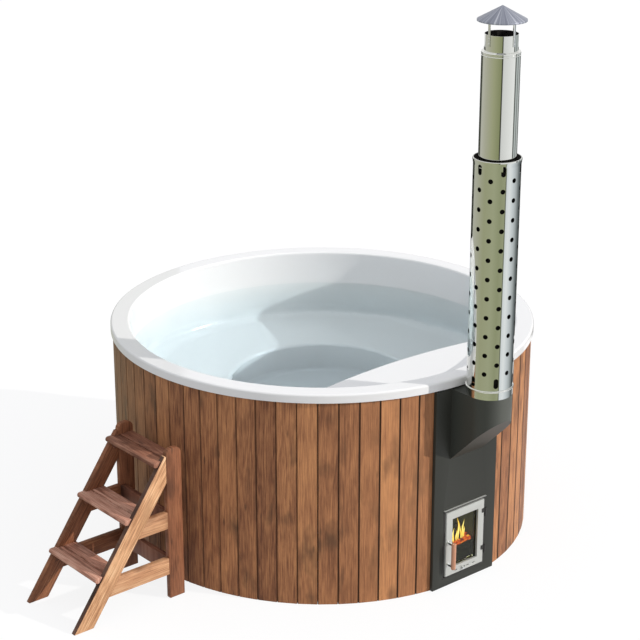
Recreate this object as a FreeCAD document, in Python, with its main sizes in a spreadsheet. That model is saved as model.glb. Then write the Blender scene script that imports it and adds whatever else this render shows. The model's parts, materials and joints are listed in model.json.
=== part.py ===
import FreeCAD, Part
import math
import os
import Sketcher

# Round wood-fired hot tub with a built-in stove, a flue and a loose set of steps.
# The floor is z = 0 and the tub's axis is the z axis. The stove faces -Y, so its places are given as
# reaches: distances from the tub's axis towards -Y. The steps stand on the -X side.
# Lengths are in millimetres, angles in degrees.

SIZES = {
    # moulded liner
    "tub_radius": 1000,
    "tub_height": 1012,
    "rim_depth": 40,
    "rim_round": 10,
    "rim_inner_radius": 912,
    "liner_skin": 6,
    "cove_round": 110,
    "seat_height": 420,
    "seat_round": 25,
    "well_radius": 434,
    "well_round": 40,
    "well_floor_height": 100,
    "deck_height": 916,
    "deck_round": 25,
    "deck_edge_reach": 488,
    "deck_bow_radius": 2850,
    # stave cladding
    "clad_radius": 990,
    "stave_thickness": 26,
    "stave_joint": 1.5,
    "stave_chamfer": 3,
    "stave_top_gap": 1,
    "bay_angle": 19.9,
    # timber frame under the liner
    "ring_height": 45,
    "ring_clearance": 0.3,
    "ring_inner_radius": 925,
    "middle_ring_base": 480,
    "frame_bay_width": 420,
    "stud_width": 60,
    "joist_width": 70,
    "joist_spacing": 400,
    "centre_joist_length": 1910,
    "side_joist_length": 1700,
    "seat_post_width": 70,
    "seat_post_radius": 620,
    "seat_post_angle": 28,
    # stove front panel
    "panel_reach": 991,
    "panel_width": 380,
    "panel_sheet": 2,
    "panel_foot": 2,
    "panel_top_gap": 3,
    "panel_fold_gap": 2,
    "panel_fit": 0.5,
    # stove body
    "stove_front_reach": 940,
    "stove_back_reach": 540,
    "stove_width": 360,
    "stove_base": 30,
    "stove_top": 860,
    "jacket_wall": 4,
    "firebox_width": 256,
    "firebox_base": 60,
    "firebox_top": 430,
    "firebox_back_reach": 600,
    "shaft_width": 140,
    "shaft_front_reach": 700,
    "shaft_back_reach": 620,
    "duct_base": 760,
    "duct_top": 840,
    "duct_wall": 3,
    "foot_width": 50,
    "foot_inset": 15,
    # grate and ash pan
    "grate_width": 250,
    "grate_top": 150,
    "grate_plate": 14,
    "grate_skirt": 8,
    "grate_gap": 6,
    "grate_slot_width": 12,
    "grate_slot_length": 250,
    "grate_slot_pitch": 26,
    "pan_width": 200,
    "pan_height": 55,
    "pan_wall": 2,
    "pan_depth": 300,
    "pan_lift": 0.3,
    # fire door
    "door_width": 236,
    "door_height": 318,
    "door_base": 52.5,
    "door_gap": 5,
    "door_proud": 7,
    "door_thickness": 18,
    "door_border": 38,
    "door_chamfer": 2,
    "frame_border": 8,
    "frame_stop": 13,
    "ledge_thickness": 4,
    "ledge_depth": 9,
    "catch_length": 60,
    "catch_thickness": 2.5,
    "catch_depth": 8,
    "gasket_width": 8,
    "gasket_thickness": 2,
    "gasket_play": 0.3,
    "glass_thickness": 4,
    "glass_lap": 8,
    "glass_play": 1,
    "retainer_width": 14,
    "retainer_thickness": 2,
    "hinge_offset": 6,
    "hinge_proud": 9,
    "hinge_radius": 5,
    "hinge_pin_radius": 3,
    "hinge_pin_play": 0.05,
    "hinge_length": 20,
    "hinge_space": 0.3,
    "hinge_strap": 20,
    "hinge_strap_thickness": 3,
    "hinge_inset": 45,
    "handle_side": 105,
    "handle_base": 104,
    "handle_length": 128,
    "handle_grip_radius": 11,
    "handle_standoff": 37,
    "handle_post_radius": 6,
    "handle_post_inset": 10,
    "air_slot_length": 16,
    "air_slot_width": 5,
    "air_slot_pitch": 37,
    "air_slot_side": 22,
    "air_slide_height": 69,
    "air_slide_travel": 18.5,
    "air_plate_margin": 6,
    "air_plate_width": 12,
    "air_plate_thickness": 2,
    "air_plate_play": 0.3,
    "air_cover_thickness": 1.5,
    "air_stem_radius": 2.5,
    "air_stem_play": 0.5,
    "air_knob_radius": 6,
    "air_knob_length": 8,
    "air_knob_standoff": 4,
    # flue and its guard
    "flue_reach": 1117,
    "flue_radius": 80,
    "flue_wall": 1.5,
    "flue_fit": 0.3,
    "flue_spigot": 15,
    "flue_top": 2450,
    "hood_top": 965,
    "hood_foot": 630,
    "hood_nose_height": 857,
    "hood_sheet": 3,
    "guard_radius": 100,
    "guard_wall": 1.5,
    "guard_base": 1003,
    "guard_top": 2015,
    "guard_lip": 4,
    "guard_bead": 6.5,
    "perforation_radius": 9,
    "perforation_pitch": 85,
    "guard_slot_length": 45,
    "spacer_width": 20,
    "spacer_thickness": 3,
    "spacer_inset": 30,
    # rain cap
    "collar_radius": 70,
    "collar_top": 2527,
    "collar_insert": 60,
    "collar_flange": 8,
    "collar_lip": 4,
    "cap_radius": 102.5,
    "cap_rim_height": 2585,
    "cap_apex_height": 2641,
    "cap_sheet": 2,
    "cap_hem": 6,
    "strap_width": 12,
    "strap_thickness": 2,
    "strap_lap": 45,
    # water circulation between the stove and the tub
    "circulation_radius": 25,
    "circulation_wall": 3,
    "circulation_low": 500,
    "circulation_high": 770,
    "circulation_reach_in": 470,
    "fitting_radius": 45,
    "fitting_thickness": 8,
    # drain
    "drain_side": 200,
    "drain_flange_radius": 48,
    "drain_flange_thickness": 3,
    "drain_tube_radius": 30,
    "drain_tube_wall": 4,
    "drain_foot": 15,
    "drain_pipe_height": 45,
    "drain_pipe_radius": 20,
    "drain_pipe_wall": 3,
    "drain_pipe_length": 1000,
    "drain_fit": 0.2,
    "drain_hole_clearance": 3,
    "drain_grate_thickness": 4,
    "drain_grate_hole_radius": 4,
    "drain_grate_hole_pitch": 22,
    "valve_radius": 28,
    "valve_length": 70,
    "valve_socket": 18,
    "valve_chamber_radius": 19,
    "valve_plug_radius": 18.5,
    "valve_plug_half": 15,
    "valve_plug_play": 0.5,
    "valve_bore_radius": 13,
    "outlet_radius": 21,
    "outlet_length": 25,
    "stem_radius": 5,
    "stem_play": 0.05,
    "lever_rise": 6,
    "lever_length": 95,
    "lever_width": 16,
    "lever_thickness": 4,
    # steps
    "steps_width": 390,
    "steps_centre_reach": 82,
    "steps_foot_reach": 1627,
    "steps_rise": 225,
    "steps_going": 161.5,
    "steps_board": 25,
    "steps_board_width": 80,
    "post_front_reach": 1120,
    "post_top": 724,
    "post_round": 30,
    "tread_thickness": 25,
    "tread_overhang": 38,
    "tread_slat_width": 65,
    "tread_slat_gap": 5,
    "tread_ear_inset": 8,
    "cleat_height": 25,
    "cleat_width": 20,
    "cleat_inset": 4,
    # cuts run this far past the faces they open
    "overrun": 10,
}
STAVE_COUNT = 65
STUD_COUNT = 7
GUARD_COLUMNS = 12
GUARD_HOLES = 11
PERFORATION_SIDES = 6
RIM_FLATS = 2
COVE_FLATS = 2
FOLD_FLATS = 1
FLUE_SIDES = 24
RING_SIDES = 32
PIPE_SIDES = 16
FITTING_SIDES = 6
GRATE_HOLE_SIDES = 4
CAP_STRAPS = 4
GRATE_SLOTS = 8
TREADS = ("low", "middle", "top")
STUD_SPACING = 45

doc = FreeCAD.newDocument("hot_tub")
sheet = doc.addObject("Spreadsheet::Sheet", "Sizes")
pieces = []


class Dim:
    """A sheet value or a sum of such values, kept with the expression that binds it to the sheet."""

    def __init__(self, value, text):
        self.value = value
        self.text = text

    def __add__(self, other):
        other = dim(other)
        return Dim(self.value + other.value, f"({self.text} + {other.text})")

    def __sub__(self, other):
        other = dim(other)
        return Dim(self.value - other.value, f"({self.text} - {other.text})")

    def __mul__(self, other):
        other = dim(other)
        return Dim(self.value * other.value, f"({self.text} * {other.text})")

    def __truediv__(self, other):
        other = dim(other)
        return Dim(self.value / other.value, f"({self.text} / {other.text})")

    def __neg__(self):
        return Dim(-self.value, f"(-{self.text})")

    __radd__ = __add__
    __rmul__ = __mul__

    def __rsub__(self, other):
        return dim(other) - self


def dim(number):
    return number if isinstance(number, Dim) else Dim(number, repr(number))


def root(square):
    return Dim(math.sqrt(square.value), f"sqrt({square.text})")


def tangent(angle):
    return Dim(math.tan(math.radians(angle.value)), f"tan({angle.text})")


def sine(angle):
    return Dim(math.sin(math.radians(angle.value)), f"sin({angle.text})")


def cosine(angle):
    return Dim(math.cos(math.radians(angle.value)), f"cos({angle.text})")


class SheetSizes:
    """The sheet's cells, each read back as a Dim under its alias."""

    def __init__(self):
        for row, (alias, number) in enumerate(SIZES.items(), start=1):
            sheet.set(f"A{row}", alias)
            sheet.set(f"B{row}", str(number))
            sheet.setAlias(f"B{row}", alias)
        doc.recompute()
        for row, alias in enumerate(SIZES, start=1):
            setattr(self, alias, Dim(float(sheet.get(f"B{row}")), f"Sizes.{alias}"))


s = SheetSizes()
ZERO = dim(0)


def bind(item, name, size):
    item.setExpression(name, dim(size).text)


def place(item, x=ZERO, y=ZERO, z=ZERO):
    bind(item, "Placement.Base.x", x)
    bind(item, "Placement.Base.y", y)
    bind(item, "Placement.Base.z", z)


def turn(item, axis, angle):
    """Turn a sub-part about one of the frame's axes by a bound angle."""
    item.Placement = FreeCAD.Placement(FreeCAD.Vector(), FreeCAD.Rotation(FreeCAD.Vector(*axis), 1))
    bind(item, "Placement.Rotation.Angle", angle)


def new_body(label, keep=True):
    body = doc.addObject("PartDesign::Body", label)
    body.Label = label
    body.AllowCompound = True
    if keep:
        pieces.append(body)
    return body


def origin_part(body, role):
    return next(part for part in body.Origin.OriginFeatures if part.Role == role)


def bound_constraint(sketch, kind, *args):
    """Add a constraint whose last argument is a Dim, and bind it to that Dim's expression."""
    *where, size = args
    size = dim(size)
    index = sketch.addConstraint(Sketcher.Constraint(kind, *where, size.value))
    bind(sketch, f"Constraints[{index}]", size)


def add_outline(sketch, points):
    """Draw a closed outline. A third value in a point is the radius of the arc to the next point:
    above zero the arc turns left, below zero right."""
    first = sketch.GeometryCount
    ends = []
    for index, point in enumerate(points):
        follower = points[(index + 1) % len(points)]
        start = FreeCAD.Vector(dim(point[0]).value, dim(point[1]).value)
        end = FreeCAD.Vector(dim(follower[0]).value, dim(follower[1]).value)
        if len(point) == 2:
            sketch.addGeometry(Part.LineSegment(start, end), False)
            ends.append((1, 2))
            continue
        bend = point[2].value
        chord = end - start
        across = FreeCAD.Vector(-chord.y, chord.x).normalize()
        rise = math.sqrt(max(bend * bend - chord.Length ** 2 / 4, 0))
        centre = (start + end) / 2 + across * math.copysign(rise, bend)
        circle = Part.Circle(centre, FreeCAD.Vector(0, 0, 1), abs(bend))
        ordered = (start, end) if bend > 0 else (end, start)
        angles = [math.atan2(corner.y - centre.y, corner.x - centre.x) for corner in ordered]
        sketch.addGeometry(Part.ArcOfCircle(circle, *angles), False)
        ends.append((1, 2) if bend > 0 else (2, 1))
    for index, point in enumerate(points):
        following = (index + 1) % len(points)
        joint = (first + index, ends[index][1], first + following, ends[following][0])
        sketch.addConstraint(Sketcher.Constraint("Coincident", *joint))
    for index, point in enumerate(points):
        corner = (-1, 1, first + index, ends[index][0])
        bound_constraint(sketch, "DistanceX", *corner, point[0])
        bound_constraint(sketch, "DistanceY", *corner, point[1])
        if len(point) == 3:
            radius = point[2] if point[2].value > 0 else -point[2]
            bound_constraint(sketch, "Radius", first + index, radius)


def add_circle(sketch, x, y, radius):
    middle = FreeCAD.Vector(dim(x).value, dim(y).value)
    index = sketch.addGeometry(Part.Circle(middle, FreeCAD.Vector(0, 0, 1), radius.value), False)
    bound_constraint(sketch, "DistanceX", -1, 1, index, 3, x)
    bound_constraint(sketch, "DistanceY", -1, 1, index, 3, y)
    bound_constraint(sketch, "Radius", index, radius)


def new_sketch(body, role, outlines=(), circles=(), start=ZERO):
    """Sketch outlines and circles on an origin plane, moved along the plane's normal by start."""
    sketch = body.newObject("Sketcher::SketchObject", f"{body.Name}_sketch")
    sketch.AttachmentSupport = [(origin_part(body, role), "")]
    sketch.MapMode = "FlatFace"
    bind(sketch, "AttachmentOffset.Base.z", start)
    for outline in outlines:
        add_outline(sketch, outline)
    for circle in circles:
        add_circle(sketch, *circle)
    return sketch


def pad(body, role, start, length, outlines=(), circles=()):
    """Raise a sketch from start along the plane's normal: +Z of XY, -Y of XZ, +X of YZ."""
    feature = body.newObject("PartDesign::Pad", f"{body.Name}_pad")
    feature.Profile = new_sketch(body, role, outlines, circles, start)
    bind(feature, "Length", length)
    doc.recompute()
    return feature


def cut(body, role, start, length, outlines=(), circles=()):
    """Cut a sketch into the body from start along the plane's normal."""
    before = body.Shape.Volume
    feature = body.newObject("PartDesign::Pocket", f"{body.Name}_cut")
    feature.Profile = new_sketch(body, role, outlines, circles, start)
    feature.Reversed = True
    bind(feature, "Length", length)
    doc.recompute()
    if body.Shape.Volume >= before:
        raise ValueError(f"a cut in {body.Label} removed nothing")
    return feature


def revolve(body, outline):
    """Turn an outline of radii and heights about the body's own z axis."""
    feature = body.newObject("PartDesign::Revolution", f"{body.Name}_turn")
    sketch = new_sketch(body, "XZ_Plane", [outline])
    feature.Profile = sketch
    feature.ReferenceAxis = (sketch, ["V_Axis"])
    feature.Angle = 360
    doc.recompute()
    return feature


def repeat_round(body, feature, count, angle=dim(360)):
    """Repeat a feature about the body's z axis, spread over the given angle."""
    pattern = body.newObject("PartDesign::PolarPattern", f"{body.Name}_round")
    pattern.Originals = [feature]
    pattern.Axis = (origin_part(body, "Z_Axis"), [""])
    bind(pattern, "Angle", angle)
    pattern.Occurrences = count
    body.Tip = pattern
    doc.recompute()
    return pattern


def cylinder(name, radius, length, x=ZERO, y=ZERO, z=ZERO, axis=(0, 0, 1)):
    """A plain cylinder used as a drill, starting at the given place."""
    tool = doc.addObject("Part::Cylinder", name)
    bind(tool, "Radius", radius)
    bind(tool, "Height", length)
    direction = FreeCAD.Rotation(FreeCAD.Vector(0, 0, 1), FreeCAD.Vector(*axis))
    tool.Placement = FreeCAD.Placement(FreeCAD.Vector(), direction)
    place(tool, x, y, z)
    return tool


def subtract(label, base, *tools, keep=True):
    """Take the tools away from the base, one after the other, under the sub-part's label."""
    result = base
    for index, tool in enumerate(tools):
        step = doc.addObject("Part::Cut", f"{label}_less_{tool.Name}")
        step.Base = result
        step.Tool = tool
        result = step
    result.Label = label
    doc.recompute()
    if keep:
        pieces.append(result)
    return result


def rectangle(x, y, width, height):
    """A rectangle's corners from its lowest corner."""
    return [(x, y), (x + width, y), (x + width, y + height), (x, y + height)]


def centred(width, base, height, side=ZERO):
    """A rectangle of an upright face, centred on the stove's middle plane or beside it by side."""
    return rectangle(side - width / 2, base, width, height)


def many_sided(sides, reach, x=ZERO, y=ZERO):
    """Corners of a regular outline with flats towards the axes. Reach is measured to a corner."""
    corners = []
    for step in range(sides):
        angle = dim(360 / sides * (step + 1 / 2))
        corners.append((x + reach * cosine(angle), y + reach * sine(angle)))
    return corners


def flat_share(sides):
    """The part of a corner's reach at which a flat of a regular outline stands."""
    return cosine(dim(180 / sides))


def perforation(height):
    """A six-sided perforation on the guard's middle line, as wide as the real round one."""
    reach = s.perforation_radius / flat_share(PERFORATION_SIDES)
    return many_sided(PERFORATION_SIDES, reach, ZERO, height)


def bend(x, y, radius, first, last, flats):
    """A quarter round about a centre, drawn with a few flats."""
    points = []
    for step in range(flats + 1):
        angle = dim(first + (last - first) * step / flats)
        points.append((x + radius * cosine(angle), y + radius * sine(angle)))
    return points


# The liner: a round basin with a seat and a foot well, and a dry bay for the stove behind a bowed
# bulkhead whose top is a deck. One profile serves the water side and the back of the skin.
def basin_profile(skin, top):
    floor = s.well_floor_height
    return (
        [(ZERO, floor - skin)]
        + bend(s.well_radius - s.well_round, floor + s.well_round, s.well_round + skin, -90, 0, FOLD_FLATS)
        + bend(s.well_radius + s.seat_round, s.seat_height - s.seat_round, s.seat_round - skin, 180, 90,
               FOLD_FLATS)
        + bend(s.rim_inner_radius - s.cove_round, s.seat_height + s.cove_round, s.cove_round + skin, -90, 0,
               COVE_FLATS)
        + top
    )


def build_liner():
    flange_under = s.tub_height - s.liner_skin
    lip_inside = s.tub_radius - s.liner_skin
    rim_side = s.tub_height - s.rim_round
    blank = new_body("liner_blank", keep=False)
    revolve(blank, basin_profile(s.liner_skin, [
        (s.rim_inner_radius + s.liner_skin, flange_under),
        (lip_inside, flange_under),
        (lip_inside, s.tub_height - s.rim_depth),
        (s.tub_radius, s.tub_height - s.rim_depth),
        *bend(s.tub_radius - s.rim_round, rim_side, s.rim_round, 0, 90, RIM_FLATS),
        (ZERO, s.tub_height),
    ]))
    water_space = new_body("water_space", keep=False)
    revolve(water_space, basin_profile(ZERO, [
        *bend(s.rim_inner_radius + s.rim_round, rim_side, s.rim_round, 180, 90, RIM_FLATS),
        (s.rim_inner_radius + s.rim_round, s.tub_height + s.overrun),
        (ZERO, s.tub_height + s.overrun),
    ]))
    basin = subtract("basin_space", water_space, stove_bay("stove_bay", ZERO), keep=False)
    drain = cylinder("drain_opening", s.drain_tube_radius + s.drain_fit, s.well_floor_height + s.overrun,
                     y=s.drain_side)
    pipe_run = s.stove_back_reach - s.circulation_reach_in
    openings = []
    for name, height in (("low", s.circulation_low), ("high", s.circulation_high)):
        openings.append(cylinder(f"{name}_pipe_opening", s.circulation_radius + s.drain_fit, pipe_run,
                                 y=-s.circulation_reach_in, z=height, axis=(0, -1, 0)))
    subtract("tub_liner", blank, basin, stove_bay("stove_bay_back", s.liner_skin), drain, *openings)


def stove_bay(name, skin):
    """The bay under the deck: a round block whose far edge is the bowed bulkhead."""
    bay = new_body(name, keep=False)
    edge = s.deck_bow_radius - skin
    top = s.deck_height - skin
    fold = s.deck_round - skin
    revolve(bay, [
        (edge - s.tub_radius, -s.overrun),
        (edge, -s.overrun),
        *bend(edge - fold, top - fold, fold, 0, 90, COVE_FLATS),
        (edge - s.tub_radius, top),
    ])
    place(bay, y=-s.deck_edge_reach - s.deck_bow_radius)
    return bay


# The cladding: equal flat staves round the tub, left open at the stove.
def build_cladding():
    pitch = (360 - s.bay_angle) / STAVE_COUNT
    staves = new_body("stave_ring", keep=False)
    back = s.clad_radius - s.stave_thickness
    face = s.clad_radius - s.stave_chamfer
    outer = s.clad_radius * tangent(pitch / 2) - s.stave_joint / 2
    shoulder = face * tangent(pitch / 2) - s.stave_joint / 2
    inner = back * tangent(pitch / 2) - s.stave_joint / 2
    edge = outer - s.stave_chamfer
    section = [(back, -inner), (face, -shoulder), (s.clad_radius, -edge),
               (s.clad_radius, edge), (face, shoulder), (back, inner)]
    height = s.tub_height - s.liner_skin - s.stave_top_gap
    stave = pad(staves, "XY_Plane", ZERO, height, [section])
    repeat_round(staves, stave, STAVE_COUNT, 360 - s.bay_angle - pitch)
    turn(staves, (0, 0, 1), s.bay_angle / 2 + pitch / 2 - 90)
    hole = cylinder("drain_pipe_opening", s.drain_pipe_radius + s.drain_hole_clearance, s.tub_radius,
                    y=s.drain_side, z=s.drain_pipe_height, axis=(1, 0, 0))
    subtract("cladding_staves", staves, hole)


# The timber frame: joists under the foot well, three rings and two rows of studs that carry the rim
# and the staves, and posts under the seat.
def build_frame():
    joist_top = s.well_floor_height - s.liner_skin
    rim_under = s.tub_height - s.liner_skin
    outside = s.clad_radius - s.stave_thickness - s.ring_clearance
    low_top = joist_top + s.ring_height
    top_base = rim_under - s.ring_height
    middle_top = s.middle_ring_base + s.ring_height
    rings = (
        ("frame_low_ring", joist_top),
        ("frame_middle_ring", s.middle_ring_base),
        ("frame_top_ring", top_base),
    )
    inside = s.ring_inner_radius / flat_share(RING_SIDES)
    for label, base in rings:
        ring = new_body(label)
        pad(ring, "XY_Plane", base, s.ring_height,
            [many_sided(RING_SIDES, inside)], [(ZERO, ZERO, outside)])
        gap = rectangle(-s.frame_bay_width / 2, -s.tub_radius, s.frame_bay_width, s.tub_radius)
        cut(ring, "XY_Plane", base - s.overrun, s.ring_height + 2 * s.overrun, [gap])
    studs = (
        ("frame_low_studs", low_top, s.middle_ring_base - low_top),
        ("frame_high_studs", middle_top, top_base - middle_top),
    )
    for label, base, length in studs:
        row = new_body(label)
        depth = s.clad_radius - s.stave_thickness - s.ring_inner_radius - s.overrun
        section = rectangle(s.ring_inner_radius, -s.stud_width / 2, depth, s.stud_width)
        stud = pad(row, "XY_Plane", base, length, [section])
        repeat_round(row, stud, STUD_COUNT, dim(STUD_SPACING * (STUD_COUNT - 1)))
        turn(row, (0, 0, 1), dim(-STUD_SPACING))

    joists = new_body("base_joists")
    beams = [rectangle(-s.centre_joist_length / 2, -s.joist_width / 2, s.centre_joist_length, s.joist_width)]
    for side in (-s.joist_spacing, s.joist_spacing):
        beams.append(rectangle(-s.side_joist_length / 2, side - s.joist_width / 2,
                               s.side_joist_length, s.joist_width))
    pad(joists, "XY_Plane", ZERO, joist_top, beams)

    posts = new_body("seat_posts")
    across = s.seat_post_radius * cosine(s.seat_post_angle)
    along = s.seat_post_radius * sine(s.seat_post_angle)
    half = s.seat_post_width / 2
    corners = [(across, along), (-across, along), (across, -along), (-across, -along)]
    feet = [(ZERO, s.seat_post_radius)] + corners
    sections = [rectangle(x - half, y - half, s.seat_post_width, s.seat_post_width) for x, y in feet]
    pad(posts, "XY_Plane", ZERO, s.seat_height - s.liner_skin, sections)


# The stove's front panel: one folded sheet with openings for the door and the smoke duct.
def frame_size():
    width = s.door_width + 2 * (s.door_gap + s.frame_border)
    base = s.door_base - s.door_gap - s.frame_border
    height = s.door_height + 2 * (s.door_gap + s.frame_border)
    return width, base, height


def build_panel():
    panel = new_body("stove_front_panel")
    top = s.tub_height - s.rim_depth - s.panel_top_gap
    width, base, height = frame_size()
    opening = centred(width + 2 * s.panel_fit, base - s.panel_fit, height + 2 * s.panel_fit)
    duct = centred(s.shaft_width + 2 * s.panel_fit, s.duct_base - s.panel_fit,
                   s.duct_top - s.duct_base + 2 * s.panel_fit)
    back = s.panel_reach - s.panel_sheet
    sheet_face = centred(s.panel_width, s.panel_foot, top - s.panel_foot)
    pad(panel, "XZ_Plane", back, s.panel_sheet, [sheet_face, opening, duct])
    half = s.panel_width / 2
    fold_back = root(s.clad_radius * s.clad_radius - half * half) + s.panel_fold_gap
    folds = [rectangle(-half, s.panel_foot, s.panel_sheet, top - s.panel_foot),
             rectangle(half - s.panel_sheet, s.panel_foot, s.panel_sheet, top - s.panel_foot)]
    pad(panel, "XZ_Plane", fold_back, back - fold_back, folds)


# The stove: a water-jacketed firebox on feet, with a smoke shaft behind the fire that turns forward
# to the duct in the front panel.
def stove_block(name, wall):
    """The stove's block round its fire, shaft and duct. A wall thickness gives the water space inside."""
    block = new_body(name, keep=False)
    plan = rectangle(-s.stove_width / 2 + wall, -s.stove_front_reach + wall, s.stove_width - 2 * wall,
                     s.stove_front_reach - s.stove_back_reach - 2 * wall)
    pad(block, "XY_Plane", s.stove_base + wall, s.stove_top - s.stove_base - 2 * wall, [plan])
    fire = centred(s.firebox_width + 2 * wall, s.firebox_base - wall,
                   s.firebox_top - s.firebox_base + 2 * wall)
    cut(block, "XZ_Plane", s.firebox_back_reach - wall, s.stove_front_reach, [fire])
    shaft = rectangle(-s.shaft_width / 2 - wall, -s.shaft_front_reach - wall, s.shaft_width + 2 * wall,
                      s.shaft_front_reach - s.shaft_back_reach + 2 * wall)
    cut(block, "XY_Plane", s.firebox_top - s.overrun, s.duct_top - s.firebox_top + wall + s.overrun, [shaft])
    duct = centred(s.shaft_width + 2 * wall, s.duct_base - wall, s.duct_top - s.duct_base + 2 * wall)
    cut(block, "XZ_Plane", s.shaft_back_reach - wall, s.stove_front_reach, [duct])
    return block


def build_stove():
    ports = []
    for name, height in (("low", s.circulation_low), ("high", s.circulation_high)):
        ports.append(cylinder(f"{name}_port", s.circulation_radius - s.circulation_wall, 2 * s.overrun,
                              y=s.overrun - s.stove_back_reach, z=height, axis=(0, -1, 0)))
    water_space = stove_block("jacket_space", s.jacket_wall)
    subtract("stove_jacket", stove_block("stove_outside", ZERO), water_space, *ports)

    feet = new_body("stove_feet")
    foot_x = s.stove_width / 2 - s.foot_inset - s.foot_width
    front_y = -s.stove_front_reach + s.foot_inset
    back_y = -s.stove_back_reach - s.foot_inset - s.foot_width
    pads = []
    for y in (front_y, back_y):
        pads.append(rectangle(foot_x, y, s.foot_width, s.foot_width))
        pads.append(rectangle(-foot_x - s.foot_width, y, s.foot_width, s.foot_width))
    pad(feet, "XY_Plane", ZERO, s.stove_base, pads)

    sleeve = new_body("smoke_duct")
    wall = s.duct_wall
    duct = centred(s.shaft_width, s.duct_base, s.duct_top - s.duct_base)
    inside = centred(s.shaft_width - 2 * wall, s.duct_base + wall, s.duct_top - s.duct_base - 2 * wall)
    pad(sleeve, "XZ_Plane", s.stove_front_reach, s.panel_reach - s.stove_front_reach, [duct, inside])

    grate = new_body("fire_grate")
    grate_back = s.firebox_back_reach + s.grate_gap
    grate_depth = s.stove_front_reach - s.grate_gap - grate_back
    under = s.grate_top - s.grate_plate
    inner = s.grate_width - 2 * s.grate_skirt
    half = s.grate_width / 2
    arch = [(-half, s.firebox_base), (-inner / 2, s.firebox_base), (-inner / 2, under), (inner / 2, under),
            (inner / 2, s.firebox_base), (half, s.firebox_base), (half, s.grate_top), (-half, s.grate_top)]
    pad(grate, "XZ_Plane", grate_back, grate_depth, [arch])
    slots = []
    slot_y = -grate_back - grate_depth / 2 - s.grate_slot_length / 2
    for index in range(GRATE_SLOTS):
        middle = s.grate_slot_pitch * (index - (GRATE_SLOTS - 1) / 2)
        slots.append(rectangle(middle - s.grate_slot_width / 2, slot_y,
                               s.grate_slot_width, s.grate_slot_length))
    cut(grate, "XY_Plane", under - s.overrun, s.grate_plate + 2 * s.overrun, slots)

    pan = new_body("ash_pan")
    pan_front = s.stove_front_reach - s.grate_gap
    pan_floor = s.firebox_base + s.pan_lift
    outside = rectangle(-s.pan_width / 2, -pan_front, s.pan_width, s.pan_depth)
    pad(pan, "XY_Plane", pan_floor, s.pan_height, [outside])
    hollow = rectangle(-s.pan_width / 2 + s.pan_wall, -pan_front + s.pan_wall,
                       s.pan_width - 2 * s.pan_wall, s.pan_depth - 2 * s.pan_wall)
    cut(pan, "XY_Plane", pan_floor + s.pan_wall, s.pan_height, [hollow])


# The fire door: a fixed frame with a stop, and a leaf that carries glass, gasket, handle and air slide.
def door_front():
    return s.panel_reach + s.door_proud


def door_back():
    return door_front() - s.door_thickness


def door_face(inset):
    """The leaf's outline, made smaller by an inset on each side."""
    return centred(s.door_width - 2 * inset, s.door_base + inset, s.door_height - 2 * inset)


def build_door_frame():
    frame = new_body("door_frame")
    width, base, height = frame_size()
    seat = door_back() - s.gasket_thickness
    outside = centred(width, base, height)
    throat = door_face(s.frame_stop)
    pad(frame, "XZ_Plane", s.stove_front_reach, seat - s.stove_front_reach, [outside, throat])
    pad(frame, "XZ_Plane", seat, s.panel_reach - seat, [outside, door_face(-s.door_gap)])
    ledge = centred(width, base + height - s.ledge_thickness, s.ledge_thickness)
    pad(frame, "XZ_Plane", s.panel_reach, s.ledge_depth, [ledge])

    catch = new_body("door_catch")
    strip = rectangle(-s.door_width / 2 - s.door_gap, s.door_base + s.door_height / 2,
                      s.catch_thickness, s.catch_length)
    pad(catch, "XZ_Plane", s.panel_reach - s.catch_depth, s.catch_depth, [strip])


def build_door_leaf():
    leaf = new_body("door_leaf")
    body_depth = s.door_thickness - s.door_chamfer
    pad(leaf, "XZ_Plane", door_back(), body_depth, [door_face(ZERO)])
    pad(leaf, "XZ_Plane", door_back() + body_depth, s.door_chamfer, [door_face(s.door_chamfer)])
    through = (door_back() - s.overrun, s.door_thickness + 2 * s.overrun)
    cut(leaf, "XZ_Plane", *through, [door_face(s.door_border)])
    glass_edge = s.door_border - s.glass_lap
    glass_depth = s.glass_thickness + s.retainer_thickness
    cut(leaf, "XZ_Plane", door_back() - s.overrun, glass_depth + s.overrun, [door_face(glass_edge)])
    cut(leaf, "XZ_Plane", *through, air_slots() + [stem_slot()])
    channel_depth = s.air_cover_thickness + s.air_plate_thickness + 2 * s.air_plate_play
    start, end = air_plate_ends()
    low = s.air_slide_height - s.air_plate_width / 2 - s.air_plate_play
    run = end - start + s.air_slide_travel
    channel = rectangle(start - s.air_plate_play, low, run + 2 * s.air_plate_play,
                        s.air_plate_width + 2 * s.air_plate_play)
    cut(leaf, "XZ_Plane", door_back() - s.overrun, channel_depth + s.overrun, [channel])

    glass = new_body("door_glass")
    glass_back = door_back() + s.retainer_thickness
    pad(glass, "XZ_Plane", glass_back, s.glass_thickness, [door_face(glass_edge + s.glass_play)])

    retainer = new_body("glass_retainer")
    pad(retainer, "XZ_Plane", door_back(), s.retainer_thickness,
        [door_face(glass_edge + s.glass_play), door_face(glass_edge + s.retainer_width)])

    gasket = new_body("door_gasket")
    pad(gasket, "XZ_Plane", door_back() - s.gasket_thickness + s.gasket_play,
        s.gasket_thickness - s.gasket_play, [door_face(ZERO), door_face(s.gasket_width)])


def build_handle():
    low = s.handle_base + s.handle_post_inset
    high = s.handle_base + s.handle_length - s.handle_post_inset
    grip_flat = s.handle_grip_radius * flat_share(PIPE_SIDES)
    posts = new_body("handle_posts")
    stems = [(-s.handle_side, low, s.handle_post_radius), (-s.handle_side, high, s.handle_post_radius)]
    pad(posts, "XZ_Plane", door_front(), s.handle_standoff - grip_flat, circles=stems)

    grip = new_body("handle_grip")
    outline = many_sided(PIPE_SIDES, s.handle_grip_radius, -s.handle_side, -door_front() - s.handle_standoff)
    pad(grip, "XY_Plane", s.handle_base, s.handle_length, [outline])


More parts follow.
